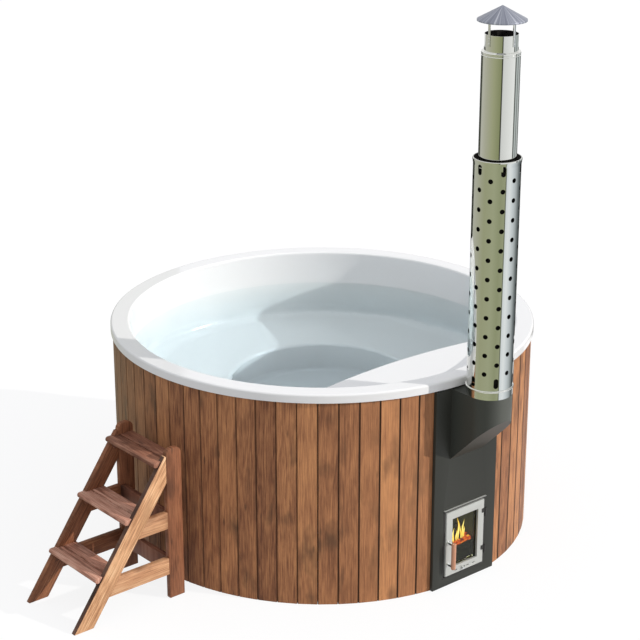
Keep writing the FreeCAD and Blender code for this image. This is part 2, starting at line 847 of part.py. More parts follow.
# Two lift-off hinges on the +X side: the frame's knuckles carry the pins. Their axis stands in front of
# the frame, just beside the leaf's edge.
def build_hinges():
    side = s.door_width / 2 + s.hinge_offset
    reach = s.panel_reach + s.hinge_proud
    low = s.door_base + s.hinge_inset
    high = s.door_base + s.door_height - s.hinge_inset - 2 * s.hinge_length - s.hinge_space
    bore = s.hinge_pin_radius + s.hinge_pin_play
    frame_edge = s.door_width / 2 + s.door_gap + s.frame_border
    centre = (side, -reach)
    fixed = new_body("hinge_frame_knuckles")
    moving = new_body("hinge_door_knuckles")
    for base in (low, high):
        upper = base + s.hinge_length + s.hinge_space
        pad(fixed, "XY_Plane", base, s.hinge_length, circles=[(*centre, s.hinge_radius)])
        pad(fixed, "XY_Plane", base, s.hinge_length,
            [rectangle(side, -reach, frame_edge - side, s.hinge_proud)])
        pad(fixed, "XY_Plane", base, 2 * s.hinge_length + s.hinge_space,
            circles=[(*centre, s.hinge_pin_radius)])
        pad(moving, "XY_Plane", upper, s.hinge_length, circles=[(*centre, s.hinge_radius)])
        strap = rectangle(side - s.hinge_strap, -door_front() - s.hinge_strap_thickness, s.hinge_strap,
                          s.hinge_strap_thickness)
        pad(moving, "XY_Plane", upper, s.hinge_length, [strap])
        cut(moving, "XY_Plane", upper - s.overrun, s.hinge_length + 2 * s.overrun, circles=[(*centre, bore)])


# The air slide: a slotted plate that runs in a channel in the back of the leaf's lower rail, held by a
# slotted cover. Its knob comes out through a slot in the rail, in the place of one air slot.
def air_slots():
    """Outlines of the three air slots, beside the knob's place in the row."""
    low = s.air_slide_height - s.air_slot_width / 2
    sides = [s.air_slot_side + s.air_slot_pitch * place_in_row for place_in_row in (-2, 0, 1)]
    return [centred(s.air_slot_length, low, s.air_slot_width, side) for side in sides]


def knob_side():
    return s.air_slot_side - s.air_slot_pitch


def stem_slot():
    """The slot in which the knob's stem travels."""
    half = s.air_stem_radius + s.air_stem_play
    return rectangle(knob_side() - half, s.air_slide_height - half, 2 * half + s.air_slide_travel, 2 * half)


def air_plate_ends():
    """The plate covers the slots at rest and after its travel."""
    reach = s.air_slot_length / 2 + s.air_plate_margin
    first = s.air_slot_side - 2 * s.air_slot_pitch
    last = s.air_slot_side + s.air_slot_pitch
    return first - s.air_slide_travel - reach, last + reach


def build_air_slide():
    start, end = air_plate_ends()
    low = s.air_slide_height - s.air_plate_width / 2
    plate_back = door_back() + s.air_cover_thickness + s.air_plate_play
    plate = new_body("air_slide")
    blank = rectangle(start, low, end - start, s.air_plate_width)
    pad(plate, "XZ_Plane", plate_back, s.air_plate_thickness, [blank] + air_slots())

    cover = new_body("air_slide_cover")
    strip = rectangle(start, low, end - start + s.air_slide_travel, s.air_plate_width)
    pad(cover, "XZ_Plane", door_back(), s.air_cover_thickness, [strip] + air_slots())

    face = plate_back + s.air_plate_thickness
    neck = door_front() + s.air_knob_standoff
    middle = (knob_side(), s.air_slide_height)
    pad(plate, "XZ_Plane", face, neck - face, circles=[(*middle, s.air_stem_radius)])
    pad(plate, "XZ_Plane", neck, s.air_knob_length, circles=[(*middle, s.air_knob_radius)])


# The hood carries the smoke from the panel to the flue: straight cheeks, a round nose on the flue's
# axis and a closed sloping underside.
def hood_form(name, inset, back):
    form = new_body(name, keep=False)
    half = s.guard_radius - inset
    nose = s.flue_reach + half
    plan = [(-half, -back), (-half, -s.flue_reach, half), (ZERO, -nose, half),
            (half, -s.flue_reach), (half, -back)]
    slope = (s.hood_nose_height - s.hood_foot) / (s.flue_reach + s.guard_radius - s.panel_reach)
    lift = inset * root(slope * slope + 1)
    foot = s.hood_foot + lift - slope * (s.panel_reach - back)
    pad(form, "XY_Plane", s.hood_foot - s.tub_radius, s.hood_top - inset - s.hood_foot + s.tub_radius, [plan])
    reach_far = nose + s.overrun
    low = s.hood_foot - s.tub_radius - s.overrun
    wedge = [(-back + s.overrun, low), (-back + s.overrun, foot - slope * s.overrun),
             (-reach_far, foot + slope * (reach_far - back)), (-reach_far, low)]
    cut(form, "YZ_Plane", -s.tub_radius, 2 * s.tub_radius, [wedge])
    return form


def build_hood():
    outside = hood_form("hood_outside", ZERO, s.panel_reach)
    inside = hood_form("hood_inside", s.hood_sheet, s.panel_reach - s.overrun)
    bore = cylinder("flue_opening", s.flue_radius + s.flue_fit, s.guard_radius, y=-s.flue_reach,
                    z=s.hood_top - s.guard_radius / 2)
    subtract("flue_hood", outside, inside, bore)


def turned(label, outline, keep=True):
    """A piece turned about the flue's axis."""
    body = new_body(label, keep)
    revolve(body, outline)
    place(body, y=-s.flue_reach)
    return body


# The flue pipe stands in the hood's top. The perforated guard stands round it on a beaded sleeve.
def build_flue():
    inner = s.flue_radius - s.flue_wall
    turned("flue_pipe", [(inner, s.hood_top - s.flue_spigot), (s.flue_radius, s.hood_top - s.flue_spigot),
                         (s.flue_radius, s.flue_top), (inner, s.flue_top)])
    back = s.guard_radius - s.guard_wall
    bead = s.guard_bead
    outside, inside = many_sided(FLUE_SIDES, s.guard_radius), many_sided(FLUE_SIDES, back)
    band = many_sided(FLUE_SIDES, s.guard_radius + bead)
    sleeve = new_body("guard_sleeve")
    pad(sleeve, "XY_Plane", s.hood_top, s.guard_base - s.hood_top, [outside, inside])
    pad(sleeve, "XY_Plane", s.guard_base - bead, bead, [band, inside])
    pad(sleeve, "XY_Plane", s.guard_base, bead, [band, many_sided(FLUE_SIDES, s.guard_radius + s.flue_fit)])
    place(sleeve, y=-s.flue_reach)

    guard = new_body("heat_guard")
    pad(guard, "XY_Plane", s.guard_base, s.guard_top - s.guard_base, [outside, inside])
    lip = many_sided(FLUE_SIDES, s.guard_radius + s.guard_lip)
    pad(guard, "XY_Plane", s.guard_top - s.guard_lip, s.guard_lip, [lip, inside])
    place(guard, y=-s.flue_reach)
    middle = (s.guard_base + s.guard_top) / 2
    full, staggered = [], []
    for index in range(GUARD_HOLES):
        height = middle + s.perforation_pitch * (index - (GUARD_HOLES - 1) / 2)
        full.append(perforation(height))
    for index in range(GUARD_HOLES - 1):
        height = middle + s.perforation_pitch * (index - (GUARD_HOLES - 2) / 2)
        staggered.append(perforation(height))
    for end in (-1, 1):
        height = middle + s.perforation_pitch * (end * GUARD_HOLES / 2)
        staggered.append(centred(2 * s.perforation_radius, height - s.guard_slot_length / 2,
                                 s.guard_slot_length))
    columns = cut(guard, "XZ_Plane", s.flue_radius, 2 * s.guard_radius, full)
    repeat_round(guard, columns, GUARD_COLUMNS // 2)
    between = cut(guard, "XZ_Plane", s.flue_radius, 2 * s.guard_radius, staggered)
    turn_sketch(between, 360 / GUARD_COLUMNS)
    repeat_round(guard, between, GUARD_COLUMNS // 2)

    spacers = new_body("guard_spacers")
    low = s.guard_base + s.spacer_inset
    high = s.guard_top - s.spacer_inset - s.spacer_thickness
    for base in (low, high):
        length = back * flat_share(FLUE_SIDES) - s.flue_fit - s.flue_radius
        arm = rectangle(s.flue_radius, -s.spacer_width / 2, length, s.spacer_width)
        repeat_round(spacers, pad(spacers, "XY_Plane", base, s.spacer_thickness, [arm]), CAP_STRAPS)
    place(spacers, y=-s.flue_reach)


def turn_sketch(feature, angle):
    """Turn a flat sketch's plane about the body's z axis."""
    sketch = feature.Profile[0]
    sketch.MapMode = "Deactivated"
    upright = FreeCAD.Rotation(FreeCAD.Vector(1, 0, 0), 90)
    about = FreeCAD.Rotation(FreeCAD.Vector(0, 0, 1), angle)
    rotation = about.multiply(upright)
    outward = rotation.multVec(FreeCAD.Vector(0, 0, 1))
    sketch.Placement = FreeCAD.Placement(FreeCAD.Vector(), rotation)
    for name, share in (("x", outward.x), ("y", outward.y), ("z", ZERO)):
        bind(sketch, f"Placement.Base.{name}", s.flue_radius * share)
    doc.recompute()


# The rain cap: a collar in the flue's top, four straps and a cone closed below by a plate.
def build_cap():
    inner = s.collar_radius - s.flue_wall
    bore = many_sided(FLUE_SIDES, inner)
    collar = new_body("cap_collar")
    collar_foot = s.flue_top - s.collar_insert
    pad(collar, "XY_Plane", collar_foot, s.collar_top - collar_foot,
        [many_sided(FLUE_SIDES, s.collar_radius), bore])
    pad(collar, "XY_Plane", s.flue_top, s.collar_flange,
        [many_sided(FLUE_SIDES, s.flue_radius + s.collar_lip), bore])
    place(collar, y=-s.flue_reach)

    turned("cap_cone", [
        (ZERO, s.cap_apex_height), (ZERO, s.cap_rim_height),
        (s.cap_radius - s.cap_sheet, s.cap_rim_height),
        (s.cap_radius - s.cap_sheet, s.cap_rim_height - s.cap_hem),
        (s.cap_radius, s.cap_rim_height - s.cap_hem), (s.cap_radius, s.cap_rim_height),
    ])

    straps = new_body("cap_straps")
    near = s.collar_radius
    far = s.collar_radius + s.strap_thickness
    foot = s.collar_top - s.strap_lap
    under = s.cap_rim_height - s.flue_fit
    tab = s.cap_radius - s.strap_width
    profile = [(near, foot), (far, foot), (far, under - s.strap_thickness),
               (tab, under - s.strap_thickness), (tab, under), (near, under)]
    strap = pad(straps, "XZ_Plane", -s.strap_width / 2, s.strap_width, [profile])
    repeat_round(straps, strap, CAP_STRAPS)
    place(straps, y=-s.flue_reach)


# Two pipes lead the tub's water through the bulkhead to the jacket and back.
def build_circulation():
    pipes = new_body("circulation_pipes")
    bore = s.circulation_radius - s.circulation_wall
    rings, flanges = [], []
    for height in (s.circulation_low, s.circulation_high):
        rings.append(many_sided(PIPE_SIDES, s.circulation_radius, ZERO, height))
        rings.append(many_sided(PIPE_SIDES, bore, ZERO, height))
        flanges.append(many_sided(FITTING_SIDES, s.fitting_radius, ZERO, height))
        flanges.append(many_sided(PIPE_SIDES, s.circulation_radius + s.drain_fit, ZERO, height))
    pad(pipes, "XZ_Plane", s.circulation_reach_in, s.stove_back_reach - s.circulation_reach_in, rings)
    fittings = new_body("bulkhead_fittings")
    face = s.deck_edge_reach - s.fitting_thickness
    pad(fittings, "XZ_Plane", face, s.fitting_thickness - s.ring_clearance, flanges)


# The drain: a flanged tube through the foot well's floor, a pipe under the seat and a plug valve outside,
# glued into one run, and the grate and the turning plug with its lever.
def build_drain():
    inside = s.drain_tube_radius - s.drain_tube_wall
    flange_top = s.well_floor_height + s.drain_flange_thickness
    seat = flange_top - s.drain_grate_thickness
    bore = s.drain_foot + s.drain_tube_wall
    seat_reach = s.drain_tube_radius - s.drain_fit
    socket = s.drain_pipe_radius + s.drain_fit
    axis = (s.drain_side, s.drain_pipe_height)
    back = s.drain_pipe_length - s.valve_socket
    spindle_x = back + (s.valve_length + s.valve_socket) / 2
    half = s.valve_plug_half

    def upright(reach, x=ZERO):
        return [many_sided(PIPE_SIDES, reach, x, s.drain_side)]

    def level(reach):
        return [many_sided(PIPE_SIDES, reach, *axis)]

    run = new_body("drain_pipe")
    pad(run, "XY_Plane", s.drain_foot, flange_top - s.drain_foot, upright(s.drain_tube_radius))
    pad(run, "XY_Plane", s.well_floor_height, s.drain_flange_thickness, upright(s.drain_flange_radius))
    cut(run, "XY_Plane", bore, flange_top - bore + s.overrun, upright(inside))
    cut(run, "XY_Plane", seat, flange_top - seat + s.overrun, upright(seat_reach))
    cut(run, "YZ_Plane", ZERO, s.drain_flange_radius, level(socket))
    pad(run, "YZ_Plane", back, s.valve_length, level(s.valve_radius))
    pad(run, "YZ_Plane", back + s.valve_length, s.outlet_length, circles=[(*axis, s.outlet_radius)])
    cut(run, "YZ_Plane", back - s.overrun, s.valve_socket + s.overrun, level(socket))
    cut(run, "YZ_Plane", back, s.valve_length + s.outlet_length + s.overrun, level(s.valve_bore_radius))
    chamber = s.valve_chamber_radius / flat_share(PIPE_SIDES)
    cut(run, "XY_Plane", s.drain_pipe_height - half - s.valve_plug_play, 2 * (half + s.valve_plug_play),
        upright(chamber, spindle_x))
    stem = (s.stem_radius + s.stem_play) / flat_share(PIPE_SIDES)
    cut(run, "XY_Plane", s.drain_pipe_height, s.valve_radius + s.overrun, upright(stem, spindle_x))
    pad(run, "YZ_Plane", inside, s.drain_pipe_length - inside,
        level(s.drain_pipe_radius) + level(s.drain_pipe_radius - s.drain_pipe_wall))

    grate = new_body("drain_grate")
    pad(grate, "XY_Plane", seat, s.drain_grate_thickness,
        [many_sided(PIPE_SIDES, seat_reach - s.drain_fit)])
    ring = s.drain_grate_hole_pitch
    hole = cut(grate, "XY_Plane", seat - s.overrun, 2 * s.overrun + s.drain_grate_thickness,
               [many_sided(GRATE_HOLE_SIDES, s.drain_grate_hole_radius, out) for out in (ring, ring / 2)])
    repeat_round(grate, hole, CAP_STRAPS)
    place(grate, y=s.drain_side)

    lever = new_body("valve_lever")
    top = s.valve_radius + s.lever_rise
    pad(lever, "XY_Plane", -half, 2 * half, circles=[(ZERO, ZERO, s.valve_plug_radius)])
    pad(lever, "XY_Plane", ZERO, top, circles=[(ZERO, ZERO, s.stem_radius)])
    port = s.valve_bore_radius - s.drain_pipe_wall
    cut(lever, "XZ_Plane", -s.valve_plug_radius - s.overrun, 2 * (s.valve_plug_radius + s.overrun),
        [rectangle(-port, -port, 2 * port, 2 * port)])
    wide = s.lever_width / 2
    outline = [(-wide, ZERO), (-wide, -s.lever_length + wide, wide), (ZERO, -s.lever_length, wide),
               (wide, -s.lever_length + wide), (wide, ZERO, wide), (ZERO, wide, wide)]
    pad(lever, "XY_Plane", top, s.lever_thickness, [outline])
    place(lever, x=spindle_x, y=s.drain_side, z=s.drain_pipe_height)


# The steps: two side frames of post, stringer and rails, three treads of two slats, cleats under the
# treads and rails across the back.
def stringer_front(height):
    return height * (s.steps_going / s.steps_rise) - s.steps_foot_reach


def stringer_back(height):
    run = root(s.steps_rise * s.steps_rise + s.steps_going * s.steps_going)
    return stringer_front(height) + s.steps_board_width * (run / s.steps_rise)


def height_on_stringer(reach, level_cut):
    return (s.steps_foot_reach - level_cut - reach) * (s.steps_rise / s.steps_going)


def rail_heights():
    """Lower edges of the side rails, which end under the low and the middle tread."""
    tops = [index * s.steps_rise - s.tread_thickness for index in (1, 2)]
    return [top - s.steps_board_width for top in tops]


def build_steps():
    half = s.steps_width / 2
    board = s.steps_board
    inside = s.steps_centre_reach - half + board
    clear = s.steps_width - 2 * board
    starts = {"right": s.steps_centre_reach + half - board, "left": s.steps_centre_reach - half}
    front, back = -s.post_front_reach, s.steps_board_width - s.post_front_reach
    shoulder = s.post_top - s.post_round
    level_cut = stringer_back(ZERO) - stringer_front(ZERO)
    for name, start in starts.items():
        post = new_body(f"steps_{name}_post")
        pad(post, "XZ_Plane", start, board, [[
            (front, ZERO), (back, ZERO), (back, shoulder, s.post_round), (back - s.post_round, s.post_top),
            (front + s.post_round, s.post_top, s.post_round), (front, shoulder),
        ]])
        stringer = new_body(f"steps_{name}_stringer")
        pad(stringer, "XZ_Plane", start, board, [[
            (stringer_front(ZERO), ZERO), (stringer_back(ZERO), ZERO),
            (front, height_on_stringer(s.post_front_reach, level_cut)),
            (front, shoulder), (stringer_front(shoulder), shoulder),
        ]])
        for level, base in zip(TREADS, rail_heights()):
            rail = new_body(f"steps_{name}_{level}_rail")
            top = base + s.steps_board_width
            pad(rail, "XZ_Plane", start, board, [[
                (stringer_back(base), base), (front, base), (front, top), (stringer_back(top), top),
            ]])

    cross = new_body("steps_cross_rails")
    bars = [rectangle(front, base, board, s.steps_board_width) for base in rail_heights()]
    pad(cross, "XZ_Plane", inside, clear, bars)

    cleats = new_body("steps_cleats")
    for index, level in enumerate(TREADS, start=1):
        top = index * s.steps_rise
        under = top - s.tread_thickness
        nose = index * s.steps_going - s.steps_foot_reach - s.tread_overhang
        round_nose = s.tread_thickness / 2
        tread = new_body(f"steps_{level}_tread")
        slat_end = nose + s.tread_slat_width
        slat = [(nose + round_nose, under), (slat_end, under), (slat_end, top),
                (nose + round_nose, top, round_nose), (nose, under + round_nose, round_nose)]
        rear = rectangle(slat_end + s.tread_slat_gap, under, s.tread_slat_width, s.tread_thickness)
        pad(tread, "XZ_Plane", inside, clear, [slat, rear])
        ear = [(nose + round_nose, under), (stringer_front(under), under), (stringer_front(top), top),
               (nose + round_nose, top, round_nose), (nose, under + round_nose, round_nose)]
        ear_width = board - s.tread_ear_inset
        pad(tread, "XZ_Plane", inside - ear_width, ear_width, [ear])
        pad(tread, "XZ_Plane", inside + clear, ear_width, [ear])
        foot = under - s.cleat_height
        cleat_front = stringer_front(under) + s.cleat_inset
        cleat_back = stringer_back(foot) - s.cleat_inset
        cleat = rectangle(cleat_front, foot, cleat_back - cleat_front, s.cleat_height)
        pad(cleats, "XZ_Plane", inside, s.cleat_width, [cleat])
        pad(cleats, "XZ_Plane", inside + clear - s.cleat_width, s.cleat_width, [cleat])


def check_document():
    for item in doc.Objects:
        if "Invalid" in item.State or "Error" in item.State:
            raise ValueError(f"{item.Label} did not compute: {item.State}")
    for piece in pieces:
        if piece.Shape.isNull() or not piece.Shape.isValid():
            raise ValueError(f"{piece.Label} has no valid shape")


def export_pieces():
    os.makedirs("parts", exist_ok=True)
    for piece in pieces:
        piece.Shape.exportStep(f"parts/{piece.Label}.step")
        print(piece.Label, len(piece.Shape.Solids), round(piece.Shape.Volume))


build_liner()
build_cladding()
build_frame()
build_panel()
build_stove()
build_door_frame()
build_door_leaf()
build_handle()
build_hinges()
build_air_slide()
build_hood()
build_flue()
build_cap()
build_circulation()
build_drain()
build_steps()
doc.recompute()
check_document()
export_pieces()
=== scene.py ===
# %% [markdown]
# # A wood-fired hot tub with a stove, a flue and steps
# The CAD part gives every piece its place and its size. This lesson gives the pieces their looks: a smooth
# liner with water, oiled boards, mirror steel and a fire. All lengths are in metres, in the CAD frame: the
# tub's axis is the origin, +Z is up and the stove faces -Y.

# %% Load the CAD frame
import json
import math

import bpy
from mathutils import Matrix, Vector


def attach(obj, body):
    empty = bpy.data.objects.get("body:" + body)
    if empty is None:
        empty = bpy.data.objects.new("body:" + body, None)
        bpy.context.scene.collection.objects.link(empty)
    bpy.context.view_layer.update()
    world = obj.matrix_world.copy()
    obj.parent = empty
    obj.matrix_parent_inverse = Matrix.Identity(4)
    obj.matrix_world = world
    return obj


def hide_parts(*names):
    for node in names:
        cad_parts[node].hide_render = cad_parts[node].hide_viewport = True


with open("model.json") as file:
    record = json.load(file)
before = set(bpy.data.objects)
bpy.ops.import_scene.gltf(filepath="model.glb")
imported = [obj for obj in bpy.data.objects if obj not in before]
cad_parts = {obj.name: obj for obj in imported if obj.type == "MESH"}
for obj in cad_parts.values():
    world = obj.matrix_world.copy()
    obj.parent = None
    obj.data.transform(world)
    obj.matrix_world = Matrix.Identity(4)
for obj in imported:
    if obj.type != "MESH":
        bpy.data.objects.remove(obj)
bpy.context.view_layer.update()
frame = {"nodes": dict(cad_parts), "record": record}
record = frame["record"]
BODY_OF = {node: body for body, nodes in record["behaviour"]["bodies"].items() for node in nodes}
SLOT_OF = {part["node"]: part["material_slot"] for part in record["subparts"]}
print("CAD nodes:", len(frame["nodes"]))

# %% [markdown]
# ## Helpers for shapes
# Every new piece starts as a circle, a cylinder or a merged copy of a CAD node, and is then worked in edit
# mode or with modifiers that are applied at once. Operators act on all that is selected, so `alone` selects
# one piece and nothing else, and `pick` goes on to select some of its points or faces.

# %% Helpers for shapes
# points closer than this are merged
MERGE = 0.00002


def alone(piece):
    """Leave edit mode and make one piece the only selected object."""
    if bpy.context.object and bpy.context.object.mode != "OBJECT":
        bpy.ops.object.mode_set(mode="OBJECT")
    bpy.ops.object.select_all(action="DESELECT")
    piece.select_set(True)
    bpy.context.view_layer.objects.active = piece


def pick(piece, kind, chosen):
    """Enter edit mode with only those vertices or faces selected that pass a test."""
    alone(piece)
    bpy.ops.object.mode_set(mode="EDIT")
    bpy.ops.mesh.select_mode(type=kind)
    bpy.ops.mesh.select_all(action="DESELECT")
    bpy.ops.object.mode_set(mode="OBJECT")
    for element in piece.data.vertices if kind == "VERT" else piece.data.polygons:
        element.select = chosen(element)
    bpy.ops.object.mode_set(mode="EDIT")


def modify(piece, kind, **settings):
    """Add a modifier, set it and apply it."""
    alone(piece)
    modifier = piece.modifiers.new(kind, kind)
    for name, value in settings.items():
        setattr(modifier, name, value)
    bpy.ops.object.modifier_apply(modifier=modifier.name)


def clean(piece):
    """Merge doubles and turn all normals outward."""
    alone(piece)
    bpy.ops.object.mode_set(mode="EDIT")
    bpy.ops.mesh.select_all(action="SELECT")
    bpy.ops.mesh.remove_doubles(threshold=MERGE)
    bpy.ops.mesh.normals_make_consistent(inside=False)
    bpy.ops.object.mode_set(mode="OBJECT")


def carve(piece, tool):
    """Cut a tool's volume out of a piece and throw the tool away."""
    modify(piece, "BOOLEAN", operation="DIFFERENCE", object=tool, solver="EXACT")
    bpy.data.objects.remove(tool)
    clean(piece)


def join(pieces):
    """Make one object of several and fix its place in the mesh."""
    alone(pieces[0])
    for piece in pieces:
        piece.select_set(True)
    if len(pieces) > 1:
        bpy.ops.object.join()
    bpy.ops.object.transform_apply(location=True, rotation=True, scale=True)
    return pieces[0]


# %% [markdown]
# ## Helpers that make pieces
# `lathe` draws a circle, then extrudes and scales it from point to point of an outline, so it can turn any
# round piece. `copy_node` takes a CAD node's mesh, merges its points and rounds its sharp edges.

# %% Helpers that make pieces
# the upright axes of the tub and of the flue, in plan
TUB = (0.0, 0.0)
FLUE = (0.0, -1.117)
# faces this near to one plane are joined
FLAT = math.radians(0.5)


def quarter(radius, height, bend, first, last, steps=8):
    """Outline points of a round edge about a centre, from one angle to another."""
    turns = [math.radians(first + (last - first) * step / steps) for step in range(steps + 1)]
    return [(radius + bend * math.cos(turn), height + bend * math.sin(turn)) for turn in turns]


def lathe(name, outline, steps=96, axis=FLUE, closed=True):
    """Turn an outline of (radius, height) points, or (radius, height, x, y) to let the axis wander."""
    bpy.ops.object.select_all(action="DESELECT")
    points = [(*point, 0.0, 0.0)[:4] for point in outline]
    radius, height, side, depth = points[0]
    start = (axis[0] + side, axis[1] + depth, height)
    bpy.ops.mesh.primitive_circle_add(vertices=steps, radius=radius, location=start)
    piece = bpy.context.object
    piece.name = name
    bpy.ops.object.mode_set(mode="EDIT")
    bpy.ops.mesh.select_mode(type="VERT")
    for point in points[1:] + (points[:1] if closed else []):
        step = (point[2] - side, point[3] - depth, point[1] - height)
        bpy.ops.mesh.extrude_region_move(TRANSFORM_OT_translate={"value": step})
        share = point[0] / radius
        radius, height, side, depth = point
        middle = (axis[0] + side, axis[1] + depth, height)
        bpy.ops.transform.resize(value=(share, share, 1), center_override=middle)
    if not closed:
        bpy.ops.mesh.select_all(action="DESELECT")
        bpy.ops.mesh.select_non_manifold()
        bpy.ops.mesh.fill_holes(sides=0)
    clean(piece)
    bpy.ops.object.transform_apply(location=True, rotation=True, scale=True)
    return piece


def copy_node(node, bevel=0.0, segments=2, angle=25):
    """A merged copy of a CAD node's mesh, with its sharp edges rounded by a bevel."""
    piece = bpy.data.objects.new(f"{node}_look", frame["nodes"][node].data.copy())
    bpy.context.scene.collection.objects.link(piece)
    alone(piece)
    bpy.ops.mesh.customdata_custom_splitnormals_clear()
    clean(piece)
    bpy.ops.object.mode_set(mode="EDIT")
    bpy.ops.mesh.select_all(action="SELECT")
    bpy.ops.mesh.dissolve_limited(angle_limit=FLAT)
    bpy.ops.object.mode_set(mode="OBJECT")
    if bevel:
        modify(piece, "BEVEL", width=bevel, segments=segments, limit_method="ANGLE",
               angle_limit=math.radians(angle))
    return piece


# %% [markdown]
# ## Helpers that finish pieces
# Each new piece is shaded smooth, but for its sharp edges, painted, and parented to an empty named after its
# CAD body. A piece that stands for a CAD node hides that node. The other nodes keep their shape and are only
# painted.

# %% Helpers that finish pieces
# faces that meet at less than this many degrees blend
SMOOTH = 32


def settle(piece, material, body, slot, *nodes, smooth=SMOOTH):
    """Fix the piece's place, shade it, paint it and let it ride on its CAD body."""
    alone(piece)
    bpy.ops.object.transform_apply(location=True, rotation=True, scale=True)
    bpy.ops.object.shade_smooth_by_angle(angle=math.radians(smooth))
    piece.data.materials.clear()
    piece.data.materials.append(material)
    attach(piece, body)
    if nodes:
        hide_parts(*nodes)
    print("made", piece.name, len(piece.data.polygons), "faces")


def settle_copy(node, material, smooth=SMOOTH, **rounding):
    """A rounded copy that stands for its CAD node."""
    piece = copy_node(node, **rounding)
    settle(piece, material, BODY_OF[node], SLOT_OF[node], node, smooth=smooth)
    return piece


def faces_axis(face):
    """Whether a face of a turned piece looks towards the flue's axis."""
    return (face.center.x - FLUE[0]) * face.normal.x + (face.center.y - FLUE[1]) * face.normal.y < 0


def round_flue(reach, bearing, height):
    """A spot at a distance and a bearing from the flue's axis."""
    return (FLUE[0] + reach * math.cos(bearing), FLUE[1] + reach * math.sin(bearing), height)


def coat(piece, material, chosen):
    """Give a second material to the faces that pass a test."""
    pick(piece, "FACE", chosen)
    piece.data.materials.append(material)
    piece.active_material_index = len(piece.data.materials) - 1
    bpy.ops.object.material_slot_assign()
    bpy.ops.object.mode_set(mode="OBJECT")


def paint(material, *nodes):
    """Give CAD nodes their material and leave their shape alone."""
    for node in nodes:
        for material_slot in frame["nodes"][node].material_slots:
            material_slot.material = material
    print("painted", ", ".join(nodes))


# %% [markdown]
# ## Helpers for materials
# A node tree is written as plain function calls. `add` makes one node, sets it and links it, and gives back
# one of its outputs. Colours are picked as sRGB hex values and turned linear, because shaders work with
# linear light.

# %% Helpers for materials
def linear(code):
    """An sRGB hex colour as linear RGBA."""
    parts = [int(code[index:index + 2], 16) / 255 for index in (1, 3, 5)]
    return (*(part / 12.92 if part <= 0.04045 else ((part + 0.055) / 1.055) ** 2.4 for part in parts), 1.0)


def add(tree, kind, inputs=(), out=0, stops=None, **settings):
    """Add a shader node with its settings, colour stops and inputs. Return one output, or all for None."""
    node = tree.nodes.new("ShaderNode" + kind)
    for name, value in settings.items():
        setattr(node, name, value)
    if stops:
        ends = node.color_ramp.elements
        for end, (place, colour) in zip(ends, (stops[0], stops[-1])):
            end.position, end.color = place, colour
        for place, colour in stops[1:-1]:
            ends.new(place).color = colour
    for key, value in inputs.items() if isinstance(inputs, dict) else enumerate(inputs):
        if isinstance(value, bpy.types.NodeSocket):
            tree.links.new(value, node.inputs[key])
        else:
            node.inputs[key].default_value = value
    return node.outputs if out is None else node.outputs[out]


def finish(name, colour, roughness, **sockets):
    """A material with constant values on its Principled shader."""
    material = bpy.data.materials.new(name)
    material.use_nodes = True
    shader = material.node_tree.nodes["Principled BSDF"]
    shader.inputs["Base Color"].default_value = linear(colour)
    shader.inputs["Roughness"].default_value = roughness
    for key, value in sockets.items():
        shader.inputs[key.replace("_", " ")].default_value = value
    return material


def wire(material, **sockets):
    """Link outputs to the material's Principled shader."""
    tree = material.node_tree
    shader = tree.nodes["Principled BSDF"]
    for key, socket in sockets.items():
        tree.links.new(socket, shader.inputs[key.replace("_", " ")])


def place_xyz(tree):
    """The object's own coordinates in metres, as three sockets."""
    return add(tree, "SeparateXYZ", [add(tree, "TexCoord", out="Object")], out=None)


def surface(material, shader):
    """Put another shader in front of the Principled one."""
    tree = material.node_tree
    tree.links.new(shader, tree.nodes["Material Output"].inputs["Surface"])


# %% [markdown]
# ## Helpers for patterns
# Most nodes here do arithmetic, noise, ramps and bumps, so each of these gets a short name of its own.
# Glass and water would throw a full shadow, so `clear_to_shadows` lets sunlight pass through them with a
# tint.

# %% Helpers for patterns
# the Mix node has sockets for several kinds of data, and these are the ones for colours
MIX_SHARE, MIX_FIRST, MIX_SECOND, MIX_COLOUR = 0, 6, 7, 2


def calc(tree, operation, *values):
    """One step of arithmetic on one to three values."""
    return add(tree, "Math", values, operation=operation)


def blend(tree, share, first, second):
    """A colour between two, by a share from 0 to 1."""
    return add(tree, "Mix", {MIX_SHARE: share, MIX_FIRST: first, MIX_SECOND: second}, out=MIX_COLOUR,
               data_type="RGBA")


def ramp(tree, value, *stops):
    """A colour that changes with a value. Each stop is a place from 0 to 1 and a hex colour."""
    return add(tree, "ValToRGB", [value], stops=[(place, linear(code)) for place, code in stops])


def noise(tree, scale=1.0, detail=2.0, roughness=0.5, place=None):
    """Cloudy noise on the object's own coordinates, or on others that are given."""
    if place is None:
        place = add(tree, "TexCoord", out="Object")
    return add(tree, "TexNoise", {"Vector": place, "Scale": scale, "Detail": detail, "Roughness": roughness},
               out="Fac")


def bump(tree, height, strength, distance):
    """Normals that let a pattern look raised, by a distance in metres."""
    return add(tree, "Bump", {"Height": height, "Strength": strength, "Distance": distance}, out="Normal")


def clear_to_shadows(material, tint):
    """Let light pass to what lies behind, while every other ray meets the Principled shader."""
    tree = material.node_tree
    clear = add(tree, "BsdfTransparent", [linear(tint)])
    surface(material, add(tree, "MixShader", [
        add(tree, "LightPath", out="Is Shadow Ray"), tree.nodes["Principled BSDF"].outputs[0], clear]))


# %% [markdown]
# ## Wood
# One recipe serves every board. It needs a board's own coordinates, across and along the grain, and the
# board's number. Long thin noise makes the fibres, a sine of slow noise the growth rings, a stretched
# Voronoi the knots, and patches of noise the dark smudges. A random value per number makes each board a
# little different.

# %% Wood recipe
# how far apart the figures of two boards lie, across and along the grain
BOARD_STEP, BOARD_SHIFT = 3.7, 7.0


